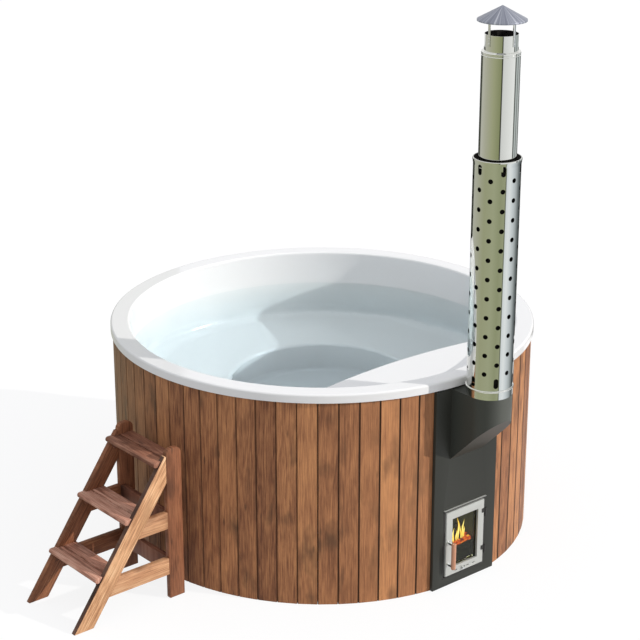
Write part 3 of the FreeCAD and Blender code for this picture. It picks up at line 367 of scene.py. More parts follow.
def grow_wood(material, across, along, number, tones, spread):
    """Wire roughness and bump of one kind of board, and return its colour."""
    tree = material.node_tree
    chance = add(tree, "TexWhiteNoise", {"W": number}, noise_dimensions="1D")

    def stretched(across_scale, along_scale, offset):
        """The board's coordinates, scaled to features per metre and moved for each board."""
        side = calc(tree, "MULTIPLY", across, across_scale)
        board = calc(tree, "MULTIPLY_ADD", number, BOARD_STEP, offset)
        shift = calc(tree, "MULTIPLY", chance, BOARD_SHIFT * offset)
        length = calc(tree, "MULTIPLY_ADD", along, along_scale, shift)
        return add(tree, "CombineXYZ", [side, board, length])

    # fibres about 4 mm wide and 15 cm long
    fibre = noise(tree, detail=5.0, roughness=0.72, place=stretched(260, 7, 1.3))
    # growth rings about 15 mm apart that close into long arches
    figure = noise(tree, detail=2.0, place=stretched(12, 1.5, 2.1))
    rings = calc(tree, "SINE", calc(tree, "MULTIPLY", figure, 70.0))
    # clouds of oil about 20 cm long
    cloud = noise(tree, detail=5.0, roughness=0.6, place=stretched(14, 5, 3.3))
    # a few dark smudges, about as wide as a board
    smudge = noise(tree, detail=3.0, place=stretched(11, 4.5, 6.1))
    smudge = add(tree, "MapRange", [smudge, 0.56, 0.74, 0.0, 0.75])
    # knots, a few in a board's length
    knot = add(tree, "TexVoronoi", {"Vector": stretched(15, 4.2, 4.9), "Scale": 1.0}, out="Distance")
    knot = add(tree, "MapRange", [knot, 0.12, 0.03, 0.0, 0.6], interpolation_type="SMOOTHSTEP")
    grain = calc(tree, "MULTIPLY_ADD", rings, 0.04, -0.3 - spread / 2)
    for part, weight in ((fibre, 1.1), (cloud, 0.5), (chance, spread)):
        grain = calc(tree, "MULTIPLY_ADD", part, weight, grain)
    dark, middle, light, stain = tones
    colour = ramp(tree, grain, (0.28, dark), (0.5, middle), (0.76, light))
    for mask in (smudge, knot):
        colour = blend(tree, mask, colour, linear(stain))
    wire(material, Roughness=add(tree, "MapRange", [fibre, 0.3, 0.7, 0.62, 0.5]),
         Normal=bump(tree, fibre, 0.25, 0.0012))
    return colour


# %% [markdown]
# ## Wood for the cladding
# The boards are oiled, heat-treated softwood. The stave's number is found from its bearing round the tub.
# Towards the sun the boards are painted tan and away from it grey: painted sunlight and painted shade, as
# well as sun-bleaching and greying.

# %% Stave wood
STAVE_FIRST = math.radians(-80.05)
STAVE_PITCH = math.radians(340.1 / 65)
STAVE_WIDTH = 0.0905
# dark, middle and light wood, and its stains
STAVE_TONES = ("#6c432f", "#a6704c", "#d39563", "#3d2e25")
# tan is painted sunlight with sun-bleaching, grey is painted shade with greying, and the joints get dirt with
# painted shade
SUNLIT_TAN, SHADED_GREY, JOINT_DIRT_AND_SHADE = "#c98d5e", "#6d6344", "#2b1c14"
# towards the sun, in plan
SUN_SIDE = (0.581, -0.814)

staves_oiled = finish("oiled heat-treated softwood staves", "#845438", 0.58, Specular_IOR_Level=0.25)
tree = staves_oiled.node_tree
x, y, z = place_xyz(tree)
bearing = calc(tree, "ARCTAN2", y, x)
bearing = calc(tree, "WRAP", bearing, STAVE_FIRST + math.tau, STAVE_FIRST)
turned = calc(tree, "SUBTRACT", bearing, STAVE_FIRST)
count = calc(tree, "DIVIDE", turned, STAVE_PITCH)
within = calc(tree, "FRACT", count)
within = calc(tree, "MULTIPLY_ADD", within, STAVE_WIDTH, -STAVE_WIDTH / 2)
number = calc(tree, "FLOOR", count)
colour = grow_wood(staves_oiled, within, z, number, STAVE_TONES, 0.22)
sunny = calc(tree, "MULTIPLY", x, SUN_SIDE[0])
sunny = calc(tree, "MULTIPLY_ADD", y, SUN_SIDE[1], sunny)
# painted sunlight and shade: tan towards the sun, grey away from it, with sun-bleaching and greying
sunlit_tan_share = add(tree, "ValToRGB", [sunny], stops=[
    (place, (share, share, share, 1.0)) for place, share in ((0.15, 0.0), (0.6, 0.38), (0.97, 0.05))])
shaded_grey_share = add(tree, "MapRange", [sunny, -0.45, -0.95, 0.0, 0.5])
colour = blend(tree, sunlit_tan_share, colour, linear(SUNLIT_TAN))
colour = blend(tree, shaded_grey_share, colour, linear(SHADED_GREY))
# painted shade and dirt darken the last 6 mm before a joint, and 9 mm where low sun rakes across it; away
# from the sun the joints are painted fainter
reach = add(tree, "MapRange", [sunny, 0.6, 0.97, 0.0392, 0.036])
edge = calc(tree, "ABSOLUTE", within)
strength = add(tree, "MapRange", [sunny, 0.1, 0.5, 0.5, 0.95])
joint = add(tree, "MapRange", [edge, reach, 0.0428, 0.0, strength])
colour = blend(tree, joint, colour, linear(JOINT_DIRT_AND_SHADE))
wire(staves_oiled, Base_Color=colour)
print("material", staves_oiled.name)

# %% [markdown]
# ## Wood for the steps
# The steps are redder. Grain runs along each board, so every board gets a material of its own: the grain
# runs up the posts, along the slanting stringers and along the treads. A board's number only seeds its
# figure.

# %% Step boards' wood
# as for the staves: dark, middle, light, stains
SIDE_TONES = ("#956445", "#c6926b", "#e6ba90", "#5a3723")
# the near stringer's tones: painted sunlight, with sun-bleaching
SUNLIT_STRINGER_TONES = ("#ae7c57", "#e7b487", "#fae0b5", "#b98d68")
# the posts' tones, also used for the far side, where they are painted shade
POST_AND_SHADED_SIDE_TONES = ("#673f2a", "#925d40", "#b07a54", "#3a241b")
TREAD_TONES = ("#5a382c", "#875844", "#b9866d", "#36211a")
PALE_TONES = ("#7e5140", "#be8872", "#e3b79f", "#4a2f26")
# painted shade for the front of the near stringer
PAINTED_SHADE_TONES = ("#3f2a24", "#5f4238", "#7d5c4c", "#2a1a16")
STEP_SLOPE = math.atan2(0.225, 0.1615)
SLAT_STEP = 0.07


def step_wood(name, direction, number, tones):
    """Oiled softwood with its grain along x, y, z or the stringers' slope."""
    material = finish(name, tones[1], 0.55, Specular_IOR_Level=0.3)
    tree = material.node_tree
    x, y, z = place_xyz(tree)
    seed = calc(tree, "ADD", 0.0, number)
    if direction == "slope":
        along = calc(tree, "MULTIPLY", z, math.sin(STEP_SLOPE))
        along = calc(tree, "MULTIPLY_ADD", x, math.cos(STEP_SLOPE), along)
        across = calc(tree, "MULTIPLY", x, -math.sin(STEP_SLOPE))
        across = calc(tree, "MULTIPLY_ADD", z, math.cos(STEP_SLOPE), across)
    else:
        along = {"x": x, "y": y, "z": z}[direction]
        across = {"x": z, "y": x, "z": x}[direction]
    if direction == "y":
        slat = calc(tree, "FLOOR", calc(tree, "DIVIDE", x, SLAT_STEP))
        seed = calc(tree, "ADD", seed, slat)
    wire(material, Base_Color=grow_wood(material, across, along, seed, tones, 0.2))
    return material


# %% [markdown]
# ## Gelcoat and paint
# Gelcoat is a glossy white skin. The stove's panel is matt charcoal paint with a fine orange-peel texture.
# The hood's paint is painted lighter towards the right of its round nose, a painted highlight where the sun
# falls.

# %% Gelcoat and paint
gelcoat = finish("white gelcoat", "#efefee", 0.16, Coat_Weight=0.25, Coat_Roughness=0.2)
charcoal = finish("matt charcoal stove paint", "#2f302b", 0.5, Specular_IOR_Level=0.32)
tree = charcoal.node_tree
peel = noise(tree, scale=900.0)
wire(charcoal, Normal=bump(tree, peel, 0.12, 0.0005))

hood_paint = finish("charcoal hood paint with painted highlight", "#3b3d38", 0.5, Specular_IOR_Level=0.32)
tree = hood_paint.node_tree
x, y, z = place_xyz(tree)
# painted highlight: the right half of the round nose is painted lighter, where the sun falls
painted_highlight = add(tree, "MapRange", [x, -0.075, -0.02])
wire(hood_paint, Base_Color=ramp(tree, painted_highlight, (0.0, "#3b3d38"), (0.5, "#4a4c47"), (1.0, "#565852")))
# painted shade and a painted reflection of the cladding: a darker, browner paint for the hood's underside
hood_underside_shade_and_reflection = finish("charcoal hood paint with painted shade and reflection", "#393226", 0.5, Specular_IOR_Level=0.32)
print("gelcoat and paints ready")

# %% [markdown]
# ## Steel and plain finishes
# The flue is mirror steel, and the cap a duller grey sheet with streaks from its tip. The door's leaf is
# brushed, so its highlights are drawn out sideways. The rest need no more than a colour and a roughness.

# %% Steel and plain finishes
mirror = finish("mirror stainless steel", "#d9dad6", 0.05, Metallic=1.0)
cap_grey = finish("streaked grey cap sheet", "#8f929c", 0.42, Metallic=0.6)
tree = cap_grey.node_tree
x, y, z = place_xyz(tree)
bearing = calc(tree, "ARCTAN2", calc(tree, "SUBTRACT", y, FLUE[1]), x)
# streaks run from the tip to the rim, a few degrees wide
streak = add(tree, "TexNoise", {"W": bearing, "Scale": 7.0, "Detail": 3.0}, out="Fac", noise_dimensions="1D")
wire(cap_grey, Base_Color=ramp(tree, streak, (0.35, "#7c7f8c"), (0.55, "#9094a0"), (0.7, "#b6b9c2")))

bright = finish("bright turned steel", "#d4d5d6", 0.16, Metallic=1.0)
brushed = finish("brushed pale steel plate", "#c1c2bd", 0.36, Metallic=0.35)
tree = brushed.node_tree
x, y, z = place_xyz(tree)
# strokes are a few centimetres long and under half a millimetre wide
strokes = add(tree, "CombineXYZ", [calc(tree, "MULTIPLY", axis, scale)
                                   for axis, scale in ((x, 30.0), (y, 30.0), (z, 2500.0))])
strokes = noise(tree, detail=3.0, place=strokes)
wire(brushed, Roughness=add(tree, "MapRange", [strokes, 0.3, 0.7, 0.28, 0.46]),
     Normal=bump(tree, strokes, 0.1, 0.0003))

frame_black = finish("blackened steel frame", "#2d2b29", 0.42, Metallic=0.3)
grip_wood = finish("lacquered copper-brown grip", "#c98f6e", 0.35, Coat_Weight=0.3)
mill_steel = finish("hot-rolled stove steel", "#3a3a3b", 0.55, Metallic=0.6)
tinted_steel = finish("heat-tinted bronze steel", "#8a8058", 0.5, Metallic=0.3)
# the lining's olive is partly a painted reflection of green surroundings in the glass
olive_lining_and_reflection = finish("olive firebox lining with painted reflection", "#737d4c", 0.85)
# black soot on cast iron and inside the flue, and painted shade inside the guard and on the covered pipe
soot_and_shade = finish("sooty cast iron and painted shade", "#16130f", 0.85)
rope = finish("sooted glass-fibre rope", "#6b675e", 0.9)
planed = finish("planed softwood", "#b58c5c", 0.6)
grey_plastic = finish("grey pipe plastic", "#5f6468", 0.4)
red_lever = finish("red dipped lever", "#9c2a22", 0.4)
print("steel and plain finishes ready")

# %% [markdown]
# ## The liner
# The white liner is made as its mould works. A turned blank has the outside of the skin, and a turned plug,
# one skin smaller, has the inside. A second pair of turned blocks, about a far axis, has the bowed bulkhead
# and the deck's rounded edge. Booleans take the plug and the dry bay out of the blank. Weighted normals
# keep the wide faces flat, so only the narrow ones blend into curves.

# %% Liner
SKIN = 0.006
RIM_HEIGHT, RIM_DEPTH, RIM_ROUND, RIM_INNER, RIM_OUTER = 1.012, 0.040, 0.010, 0.912, 0.9999
WELL_RADIUS, WELL_FLOOR, WELL_ROUND = 0.434, 0.100, 0.040
SEAT_HEIGHT, SEAT_ROUND, COVE_ROUND = 0.420, 0.025, 0.110
DECK_HEIGHT, DECK_ROUND, DECK_REACH, BOW_RADIUS = 0.916, 0.025, 0.488, 2.850
DRAIN_SPOT, DRAIN_RADIUS = (0.0, 0.2, WELL_FLOOR), 0.0302
WATER_PIPES, WATER_PIPE_RADIUS = ((0.0, -0.505, 0.5), (0.0, -0.505, 0.77)), 0.0252
# how far cutters reach past what they cut
OVERRUN = 0.01
LINER_STEPS, BAY_STEPS = 192, 600


def basin_outline(skin):
    """Foot well, seat edge and cove, from the well's floor up to the wall, offset outward by a skin."""
    return (quarter(WELL_RADIUS - WELL_ROUND, WELL_FLOOR + WELL_ROUND, WELL_ROUND + skin, -90, 0)
            + quarter(WELL_RADIUS + SEAT_ROUND, SEAT_HEIGHT - SEAT_ROUND, SEAT_ROUND - skin, 180, 90)
            + quarter(RIM_INNER - COVE_ROUND, SEAT_HEIGHT + COVE_ROUND, COVE_ROUND + skin, -90, 0, 16))


def bay(name, skin):
    """The dry bay's block about the bow's far axis, smaller by a skin."""
    edge, top, fold = BOW_RADIUS - skin, DECK_HEIGHT - skin, DECK_ROUND - skin
    outline = [(edge - RIM_OUTER, -OVERRUN), (edge, -OVERRUN),
               *quarter(edge - fold, top - fold, fold, 0, 90), (edge - RIM_OUTER, top)]
    return lathe(name, outline, steps=BAY_STEPS, axis=(0.0, -DECK_REACH - BOW_RADIUS))


liner = lathe("tub_liner_look", basin_outline(SKIN) + [
    (RIM_INNER + SKIN, RIM_HEIGHT - SKIN), (RIM_OUTER - SKIN, RIM_HEIGHT - SKIN),
    (RIM_OUTER - SKIN, RIM_HEIGHT - RIM_DEPTH), (RIM_OUTER, RIM_HEIGHT - RIM_DEPTH),
    *quarter(RIM_OUTER - RIM_ROUND, RIM_HEIGHT - RIM_ROUND, RIM_ROUND, 0, 90)],
    steps=LINER_STEPS, axis=TUB, closed=False)
plug = lathe("plug", basin_outline(0.0) + quarter(
    RIM_INNER + RIM_ROUND, RIM_HEIGHT - RIM_ROUND, RIM_ROUND, 180, 90) + [
    (RIM_INNER + RIM_ROUND, RIM_HEIGHT + OVERRUN)], steps=LINER_STEPS, axis=TUB, closed=False)
carve(plug, bay("bay_wet", 0.0))
carve(liner, plug)
carve(liner, bay("bay_dry", SKIN))

# openings for the drain in the well's floor and the two water pipes through the bulkhead
bpy.ops.mesh.primitive_cylinder_add(vertices=48, radius=DRAIN_RADIUS, depth=0.06, location=DRAIN_SPOT)
openings = [bpy.context.object]
for spot in WATER_PIPES:
    bpy.ops.mesh.primitive_cylinder_add(vertices=48, radius=WATER_PIPE_RADIUS, depth=0.07, location=spot,
                                        rotation=(math.pi / 2, 0.0, 0.0))
    openings.append(bpy.context.object)
carve(liner, join(openings))
settle(liner, gelcoat, BODY_OF["tub_liner"], SLOT_OF["tub_liner"], "tub_liner", smooth=40)
modify(liner, "WEIGHTED_NORMAL", keep_sharp=True)

# %% [markdown]
# ## The water
# The water is one closed body: a turned block that follows the basin and laps a little into its skin, with
# the bulkhead's side cut away. It bends light like real water, and lets sunlight through to the seat by
# being clear to shadow rays. It takes up a little red light on the way, so the foot well looks darker and
# bluer than the seat. Slow noise gives the surface a gentle swell.

# %% Water
WATER_TOP = 0.845
LAP = 0.002

water_clear = finish("clear tub water", "#f7fbfc", 0.0, Transmission_Weight=1.0, IOR=1.33)
tree = water_clear.node_tree
swell = noise(tree, scale=9.0)
wire(water_clear, Normal=bump(tree, swell, 0.25, 0.006))
clear_to_shadows(water_clear, "#edf5f7")
depth = add(tree, "VolumeAbsorption", [linear("#a6c5d5"), 0.5])
tree.links.new(depth, tree.nodes["Material Output"].inputs["Volume"])

water = lathe("water", basin_outline(LAP) + [(RIM_INNER + LAP, WATER_TOP)], steps=LINER_STEPS, axis=TUB,
              closed=False)
carve(water, bay("bay_water", LAP))
settle(water, water_clear, "tub", "gelcoat_white", smooth=20)

# %% [markdown]
# ## Cladding and panel
# The staves already have their chamfers and joints in the CAD, so they keep their shape and only get their
# wood. The stove's panel is a copy with small bevels. The hood is a copy with a darker, browner paint on its
# underside: painted shade and a painted reflection of the cladding. The hidden pieces are painted.

# %% Cladding, panel, frame
paint(staves_oiled, "cladding_staves")
paint(planed, "frame_low_ring", "frame_middle_ring", "frame_top_ring", "frame_low_studs", "frame_high_studs",
      "base_joists", "seat_posts")
settle_copy("stove_front_panel", charcoal, bevel=0.0007)
hood = settle_copy("flue_hood", hood_paint, smooth=25)
# painted shade and reflection: the hood's downward faces get the darker, browner paint
coat(hood, hood_underside_shade_and_reflection, lambda face: face.normal.z < -0.3)
# olive lining colour, partly a painted reflection
paint(olive_lining_and_reflection, "stove_jacket")
paint(mill_steel, "stove_feet", "smoke_duct", "door_catch", "air_slide_cover")
paint(tinted_steel, "glass_retainer")
paint(soot_and_shade, "fire_grate", "ash_pan")
paint(rope, "door_gasket")
paint(grey_plastic, "drain_pipe")
paint(red_lever, "valve_lever")
paint(bright, "drain_grate", "circulation_pipes", "bulkhead_fittings", "guard_spacers")

# %% [markdown]
# ## The flue
# Pipe and sleeve are sheet metal, so each is turned as a closed outline with a real wall and a small bead.
# Soot darkens the pipe's inside, and painted shade its covered part, so the guard's holes look black.

# %% Flue pipe and sleeve
PIPE_RADIUS, PIPE_BORE, PIPE_FOOT, PIPE_TOP = 0.080, 0.0785, 0.95, 2.45
GUARD_RADIUS, GUARD_BORE = 0.100, 0.0985
SLEEVE_LIP, SLEEVE_FOOT, SLEEVE_TOP = 0.1003, 0.965, 1.003
# below this height the pipe's outside is painted dark, as painted shade under the guard
COVERED_SHADE_TOP = 1.97

pipe = lathe("flue_pipe_look", [
    (PIPE_RADIUS, PIPE_FOOT), (PIPE_RADIUS, COVERED_SHADE_TOP), *quarter(0.0795, 2.4420, 0.0022, -77, 77, 12),
    (PIPE_RADIUS, 2.449), (0.0795, PIPE_TOP), (PIPE_BORE, PIPE_TOP), (PIPE_BORE, PIPE_FOOT)], steps=160)
settle(pipe, mirror, "tub", "flue_steel", "flue_pipe", smooth=15)
# soot inside the pipe; below the guard's top the pipe's outside is painted black as shade
coat(pipe, soot_and_shade, lambda face: faces_axis(face) or face.center.z < COVERED_SHADE_TOP)

sleeve = lathe("guard_sleeve_look", [
    (GUARD_BORE, SLEEVE_FOOT), (GUARD_RADIUS, SLEEVE_FOOT), (GUARD_RADIUS, 0.9984),
    *quarter(GUARD_RADIUS, SLEEVE_TOP, 0.0045, -80, 80, 12), (SLEEVE_LIP, 1.0076), (SLEEVE_LIP, SLEEVE_TOP),
    (GUARD_BORE, SLEEVE_TOP)], steps=160)
settle(sleeve, mirror, "tub", "flue_steel", "guard_sleeve", smooth=40)

# %% [markdown]
# ## The perforated guard
# The guard is a turned sheet too, flared at its top. Its holes are cut by one boolean: a hundred and more
# short cylinders are joined into a single cutter, in twelve columns that are set off by half a step from
# each other. Every other column ends in slots, which are cylinders drawn out in edit mode.

# %% Perforated guard
GUARD_FOOT, GUARD_MIDDLE, GUARD_TOP = 1.0032, 1.509, 2.015
COLUMNS, HOLES = 12, 11
HOLE_RADIUS, HOLE_PITCH, SLOT_LENGTH = 0.0105, 0.085, 0.045

guard = lathe("heat_guard_look", [
    (GUARD_BORE, GUARD_FOOT), (GUARD_RADIUS, GUARD_FOOT), (GUARD_RADIUS, 1.988), (0.1006, 1.993),
    (0.1022, 2.003), (0.1032, 2.0085), (0.1032, 2.0125), (0.1022, GUARD_TOP), (GUARD_BORE, GUARD_TOP)],
    steps=180)


def drill(column, height, stretch):
    """One short radial cylinder through the guard's wall, drawn out upright for a slot."""
    bearing = math.radians(360 / COLUMNS * column - 90)
    spot = round_flue(GUARD_RADIUS, bearing, height)
    bpy.ops.mesh.primitive_cylinder_add(vertices=20, radius=HOLE_RADIUS, depth=0.03, location=spot,
                                        rotation=(0.0, math.pi / 2, bearing))
    tool = join([bpy.context.object])
    for way in (-1, 1) if stretch else ():
        pick(tool, "VERT", lambda vertex: (vertex.co.z - height) * way > 0)
        bpy.ops.transform.translate(value=(0.0, 0.0, stretch * way))
        bpy.ops.object.mode_set(mode="OBJECT")
    return tool


drills = []
for column in range(COLUMNS):
    holes = HOLES - column % 2
    for index in range(holes):
        drills.append(drill(column, GUARD_MIDDLE + HOLE_PITCH * (index - (holes - 1) / 2), 0.0))
    for end in (-1, 1) if column % 2 else ():
        height = GUARD_MIDDLE + HOLE_PITCH * end * HOLES / 2
        drills.append(drill(column, height, SLOT_LENGTH / 2 - HOLE_RADIUS))
carve(guard, join(drills))
settle(guard, mirror, "tub", "flue_steel", "heat_guard", smooth=30)
modify(guard, "WEIGHTED_NORMAL", keep_sharp=True)
# painted shade: the guard's inside is black, so its holes and the gap round the pipe look dark
coat(guard, soot_and_shade, faces_axis)

# %% [markdown]
# ## The rain cap
# The collar slips into the pipe and carries a flange. Four straps hold the cone, each with two rivets. The
# cone's grey sheet is dull, so it shades softly from its lit side to its far side.

# %% Rain cap
COLLAR_RADIUS, COLLAR_BORE, COLLAR_FOOT, COLLAR_TOP = 0.070, 0.0685, 2.39, 2.527
RIVET_REACH, RIVET_HEIGHTS = 0.072, (2.492, 2.514)

collar = lathe("cap_collar_look", [
    (COLLAR_BORE, COLLAR_FOOT), (COLLAR_RADIUS, COLLAR_FOOT), (COLLAR_RADIUS, 2.4502), (0.0806, 2.4502),
    (0.0812, 2.451), (0.0812, 2.4545), (0.0804, 2.4567), (0.079, 2.458), (0.0712, 2.458),
    (COLLAR_RADIUS, 2.4592), (COLLAR_RADIUS, COLLAR_TOP), (COLLAR_BORE, COLLAR_TOP)], steps=128)
settle(collar, mirror, "tub", "cap_steel", "cap_collar", smooth=15)
coat(collar, soot_and_shade, faces_axis)
cone = lathe("cap_cone_look", [
    (0.0004, 2.641), (0.003, 2.6398), (0.1020, 2.5855), (0.1025, 2.5845), (0.1025, 2.579), (0.1015, 2.579),
    (0.1010, 2.584), (0.0004, 2.585)], steps=128, closed=False)
settle(cone, cap_grey, "tub", "cap_steel", "cap_cone", smooth=40)
settle_copy("cap_straps", bright, bevel=0.0004)

rivets = []
for quarter_turn in range(4):
    for height in RIVET_HEIGHTS:
        rivet = lathe(f"cap_rivet_{len(rivets)}", [
            (0.003, 0.0), (0.003, 0.0006), (0.0024, 0.0012), (0.001, 0.0015)],
            steps=16, axis=TUB, closed=False)
        bearing = math.radians(90 * quarter_turn)
        rivet.rotation_euler = (0.0, math.pi / 2, bearing)
        rivet.location = round_flue(RIVET_REACH, bearing, height)
        settle(rivet, bright, "tub", "bright_steel")
        rivets.append(rivet)

# %% [markdown]
# ## The fire door
# Frame and leaf get tiny bevels, which catch the light along every edge. The handle's posts have collars,
# and its grip is a turned bar with soft ends. The glass is a little green, as heat glass looks in front of
# a firebox.

# %% Fire door
LEDGE_HEIGHT = 0.375
GRIP = (-0.105, -1.035)
DOOR_FACE = -0.998
POST_HEIGHTS = (0.114, 0.222)

door_frame = settle_copy("door_frame", frame_black, bevel=0.0006)
# painted highlight: the top faces of the frame's ledge get the leaf's pale steel, where light catches them
coat(door_frame, brushed, lambda face: face.normal.z > 0.7 and face.center.z > LEDGE_HEIGHT)
settle_copy("door_leaf", brushed, bevel=0.0008)
# a low index keeps the reflections faint in front of the dark firebox
heat_glass = finish("green heat glass", "#b9be97", 0.02, Transmission_Weight=1.0, IOR=1.28)
clear_to_shadows(heat_glass, "#c3c9b8")
paint(heat_glass, "door_glass")
# the hinge knuckles are black like the frame, and dark so they read as the shadow gap at the door's edge:
# painted shade
paint(frame_black, "hinge_frame_knuckles", "hinge_door_knuckles")

grip = lathe("handle_grip_look", [
    (0.0075, 0.104), (0.0092, 0.1045), (0.0104, 0.1062), (0.0108, 0.109), (0.0108, 0.227), (0.0104, 0.2298),
    (0.0092, 0.2315), (0.0075, 0.232)], steps=48, axis=GRIP, closed=False)
settle(grip, grip_wood, "stove_door", "grip_wood", "handle_grip", smooth=50)
posts = []
for height in POST_HEIGHTS:
    post = lathe("handle_posts_look", [
        (0.009, 0.0), (0.009, 0.003), (0.0082, 0.0042), (0.006, 0.0046), (0.006, 0.0268)], steps=40, axis=TUB,
        closed=False)
    post.rotation_euler = (math.pi / 2, 0.0, 0.0)
    post.location = (GRIP[0], DOOR_FACE, height)
    posts.append(join([post]))
settle(join(posts), bright, "stove_door", "bright_steel", "handle_posts")
settle_copy("air_slide", bright, bevel=0.0005, angle=40)

# %% [markdown]
# ## The fire
# Three logs lie on the grate behind the glass, and the front one glows. Flames are wandering teardrops:
# almost white where they face the eye and orange towards their edges, where they also fade away.

# %% Glow of logs and flames
bark = finish("charred log bark", "#3a2418", 0.9)
glowing = finish("glowing log", "#5a2410", 0.9)
tree = glowing.node_tree
heat = noise(tree, scale=60.0, detail=3.0)
wire(glowing, Emission_Color=ramp(tree, heat, (0.36, "#3c0d03"), (0.5, "#e8500f"), (0.66, "#ffb648")))
tree.nodes["Principled BSDF"].inputs["Emission Strength"].default_value = 1.6
flame = finish("flame", "#000000", 1.0)
tree = flame.node_tree
facing = add(tree, "LayerWeight", {"Blend": 0.35}, out="Facing")
glow = ramp(tree, facing, (0.0, "#fff3b0"), (0.3, "#ffc93c"), (0.7, "#ef6a10"))
burning = add(tree, "Emission", [glow, 2.4])
fading = add(tree, "MapRange", [facing, 0.3, 0.9, 0.0, 1.0])
surface(flame, add(tree, "MixShader", [fading, burning, add(tree, "BsdfTransparent")]))
print("glow ready")

# %% [markdown]
# ## Logs, flames and embers
# All of them are turned. A flame's outline swells, narrows and sways as it climbs, and every flame sways at
# its own moment. An ember is a small lump whose points are pushed about at random, with a seed of its own.

# %% Logs, flames and embers
# left end, depth, height, radius, length, heading in degrees, look
LOGS = [(-0.007, -0.938, 0.1625, 0.0115, 0.08, 4, glowing), (-0.05, -0.87, 0.176, 0.024, 0.14, 5, bark),
        (-0.06, -0.82, 0.174, 0.022, 0.13, -12, bark)]
for number, (left, depth, height, radius, length, heading, material) in enumerate(LOGS):
    log = lathe(f"log_{number}", [
        (radius * 0.9, 0.0), (radius, 0.004), (radius * 1.05, length * 0.4), (radius * 0.96, length * 0.75),
        (radius, length - 0.004), (radius * 0.88, length)], steps=14, axis=TUB, closed=False)
    log.rotation_euler = (0.0, math.pi / 2, math.radians(heading))
    log.location = (left, depth, height)
    settle(log, material, "tub", "grate_iron", smooth=20)

# side, depth, foot, radius, height
FLAMES = [(-0.015, -0.928, 0.164, 0.0038, 0.052), (-0.002, -0.924, 0.162, 0.0046, 0.068),
          (0.013, -0.928, 0.164, 0.0038, 0.056), (0.030, -0.922, 0.164, 0.0050, 0.116),
          (0.043, -0.928, 0.166, 0.0038, 0.066), (0.059, -0.924, 0.168, 0.0046, 0.086),
          (0.069, -0.919, 0.168, 0.0034, 0.052)]
RINGS = 12
SWAY, SWAY_TURN, SWAY_START = 0.11, 5.5, 1.7
for number, (side, depth, foot, radius, tall) in enumerate(FLAMES):
    outline = []
    for step in range(RINGS):
        share = step / (RINGS - 1)
        belly = math.sin(math.pi * min(1.0, 0.15 + share * 0.85)) ** 1.1
        sway = SWAY * tall * share * math.sin(SWAY_TURN * share + SWAY_START * number)
        outline.append((max(radius * belly, 0.0005), foot + tall * share, sway, 0.3 * sway))
    tongue = lathe(f"flame_{number}", outline, steps=20, axis=(side, depth), closed=False)
    settle(tongue, flame, "tub", "grate_iron", smooth=80)

# side and depth
COALS = [(-0.06, -0.915), (-0.03, -0.93), (0.09, -0.928), (-0.045, -0.9), (0.1, -0.9)]
for number, (side, depth) in enumerate(COALS):
    coal = lathe(f"ember_{number}", [(0.008, 0.1505), (0.013, 0.155), (0.012, 0.163), (0.006, 0.169)],
                 steps=9, axis=(side, depth), closed=False)
    pick(coal, "VERT", lambda vertex: True)
    bpy.ops.transform.vertex_random(offset=0.002, seed=number)
    bpy.ops.object.mode_set(mode="OBJECT")
    settle(coal, glowing, "tub", "grate_iron", smooth=10)

# %% [markdown]
# ## The steps
# Each board is a copy with rounded edges. The near side's stringer and rails are lighter than the far side's,
# and the near stringer lightest: painted sunlight, with sun-bleaching. The posts, the far side, the top tread
# and the rails across the back are darker; on the far side this is painted shade. The front of the near
# stringer, which no sun reaches, is the darkest, in painted shade.

# %% Steps
BOARDS = {"post": "z", "stringer": "slope", "low_rail": "x", "middle_rail": "x"}
NEAR_TONES = {"post": POST_AND_SHADED_SIDE_TONES, "stringer": SUNLIT_STRINGER_TONES}
SIDE_SEED, EDGE_SEED, TREAD_SEED, CLEAT_SEED = 11, 35, 41.0, 61.0

for number, side in enumerate(("right", "left")):
    for place, (board, direction) in enumerate(BOARDS.items()):
        # the far side's boards take the posts' darker tones: painted shade
        tones = NEAR_TONES.get(board, SIDE_TONES) if side == "right" else POST_AND_SHADED_SIDE_TONES
        seed = SIDE_SEED + 10 * number + place
        wood = step_wood(f"oiled step wood {side} {board}", direction, seed, tones)
        piece = settle_copy(f"steps_{side}_{board}", wood, bevel=0.002)
        # painted shade: the near stringer's front faces, turned from the sun, get darker wood
        if (side, board) == ("right", "stringer"):
            shaded = step_wood("oiled step wood right stringer front in painted shade", direction, EDGE_SEED, PAINTED_SHADE_TONES)
            coat(piece, shaded, lambda face: face.normal.x < -0.5)
for number, name in enumerate(("low_tread", "middle_tread", "top_tread", "cross_rails")):
    tones = PALE_TONES if name in ("low_tread", "middle_tread") else TREAD_TONES
    wood = step_wood(f"oiled step wood {name}", "y", TREAD_SEED + 3 * number, tones)
    settle_copy(f"steps_{name}", wood, bevel=0.0025)
settle_copy("steps_cleats", step_wood("oiled step wood cleats", "x", CLEAT_SEED, TREAD_TONES), bevel=0.001)

# %% [markdown]
# ## The background
# The background is white for the eye and for reflections, but only a soft bluish grey as a source of
# diffuse light, so the sun still shapes the tub.

# %% White background
WHITE = (1.0, 1.0, 1.0, 1.0)
FILL, FILL_STRENGTH = "#f4f7ff", 0.69

scene = bpy.context.scene
scene.view_settings.view_transform = "Standard"


def seen_directly(tree):
    """One for rays that show the picture: from the eye, a reflection or through glass."""
    rays = add(tree, "LightPath", out=None)
    total = calc(tree, "ADD", rays["Is Camera Ray"], rays["Is Glossy Ray"])
    total = calc(tree, "ADD", total, rays["Is Transmission Ray"])
    return calc(tree, "MINIMUM", total, 1.0)


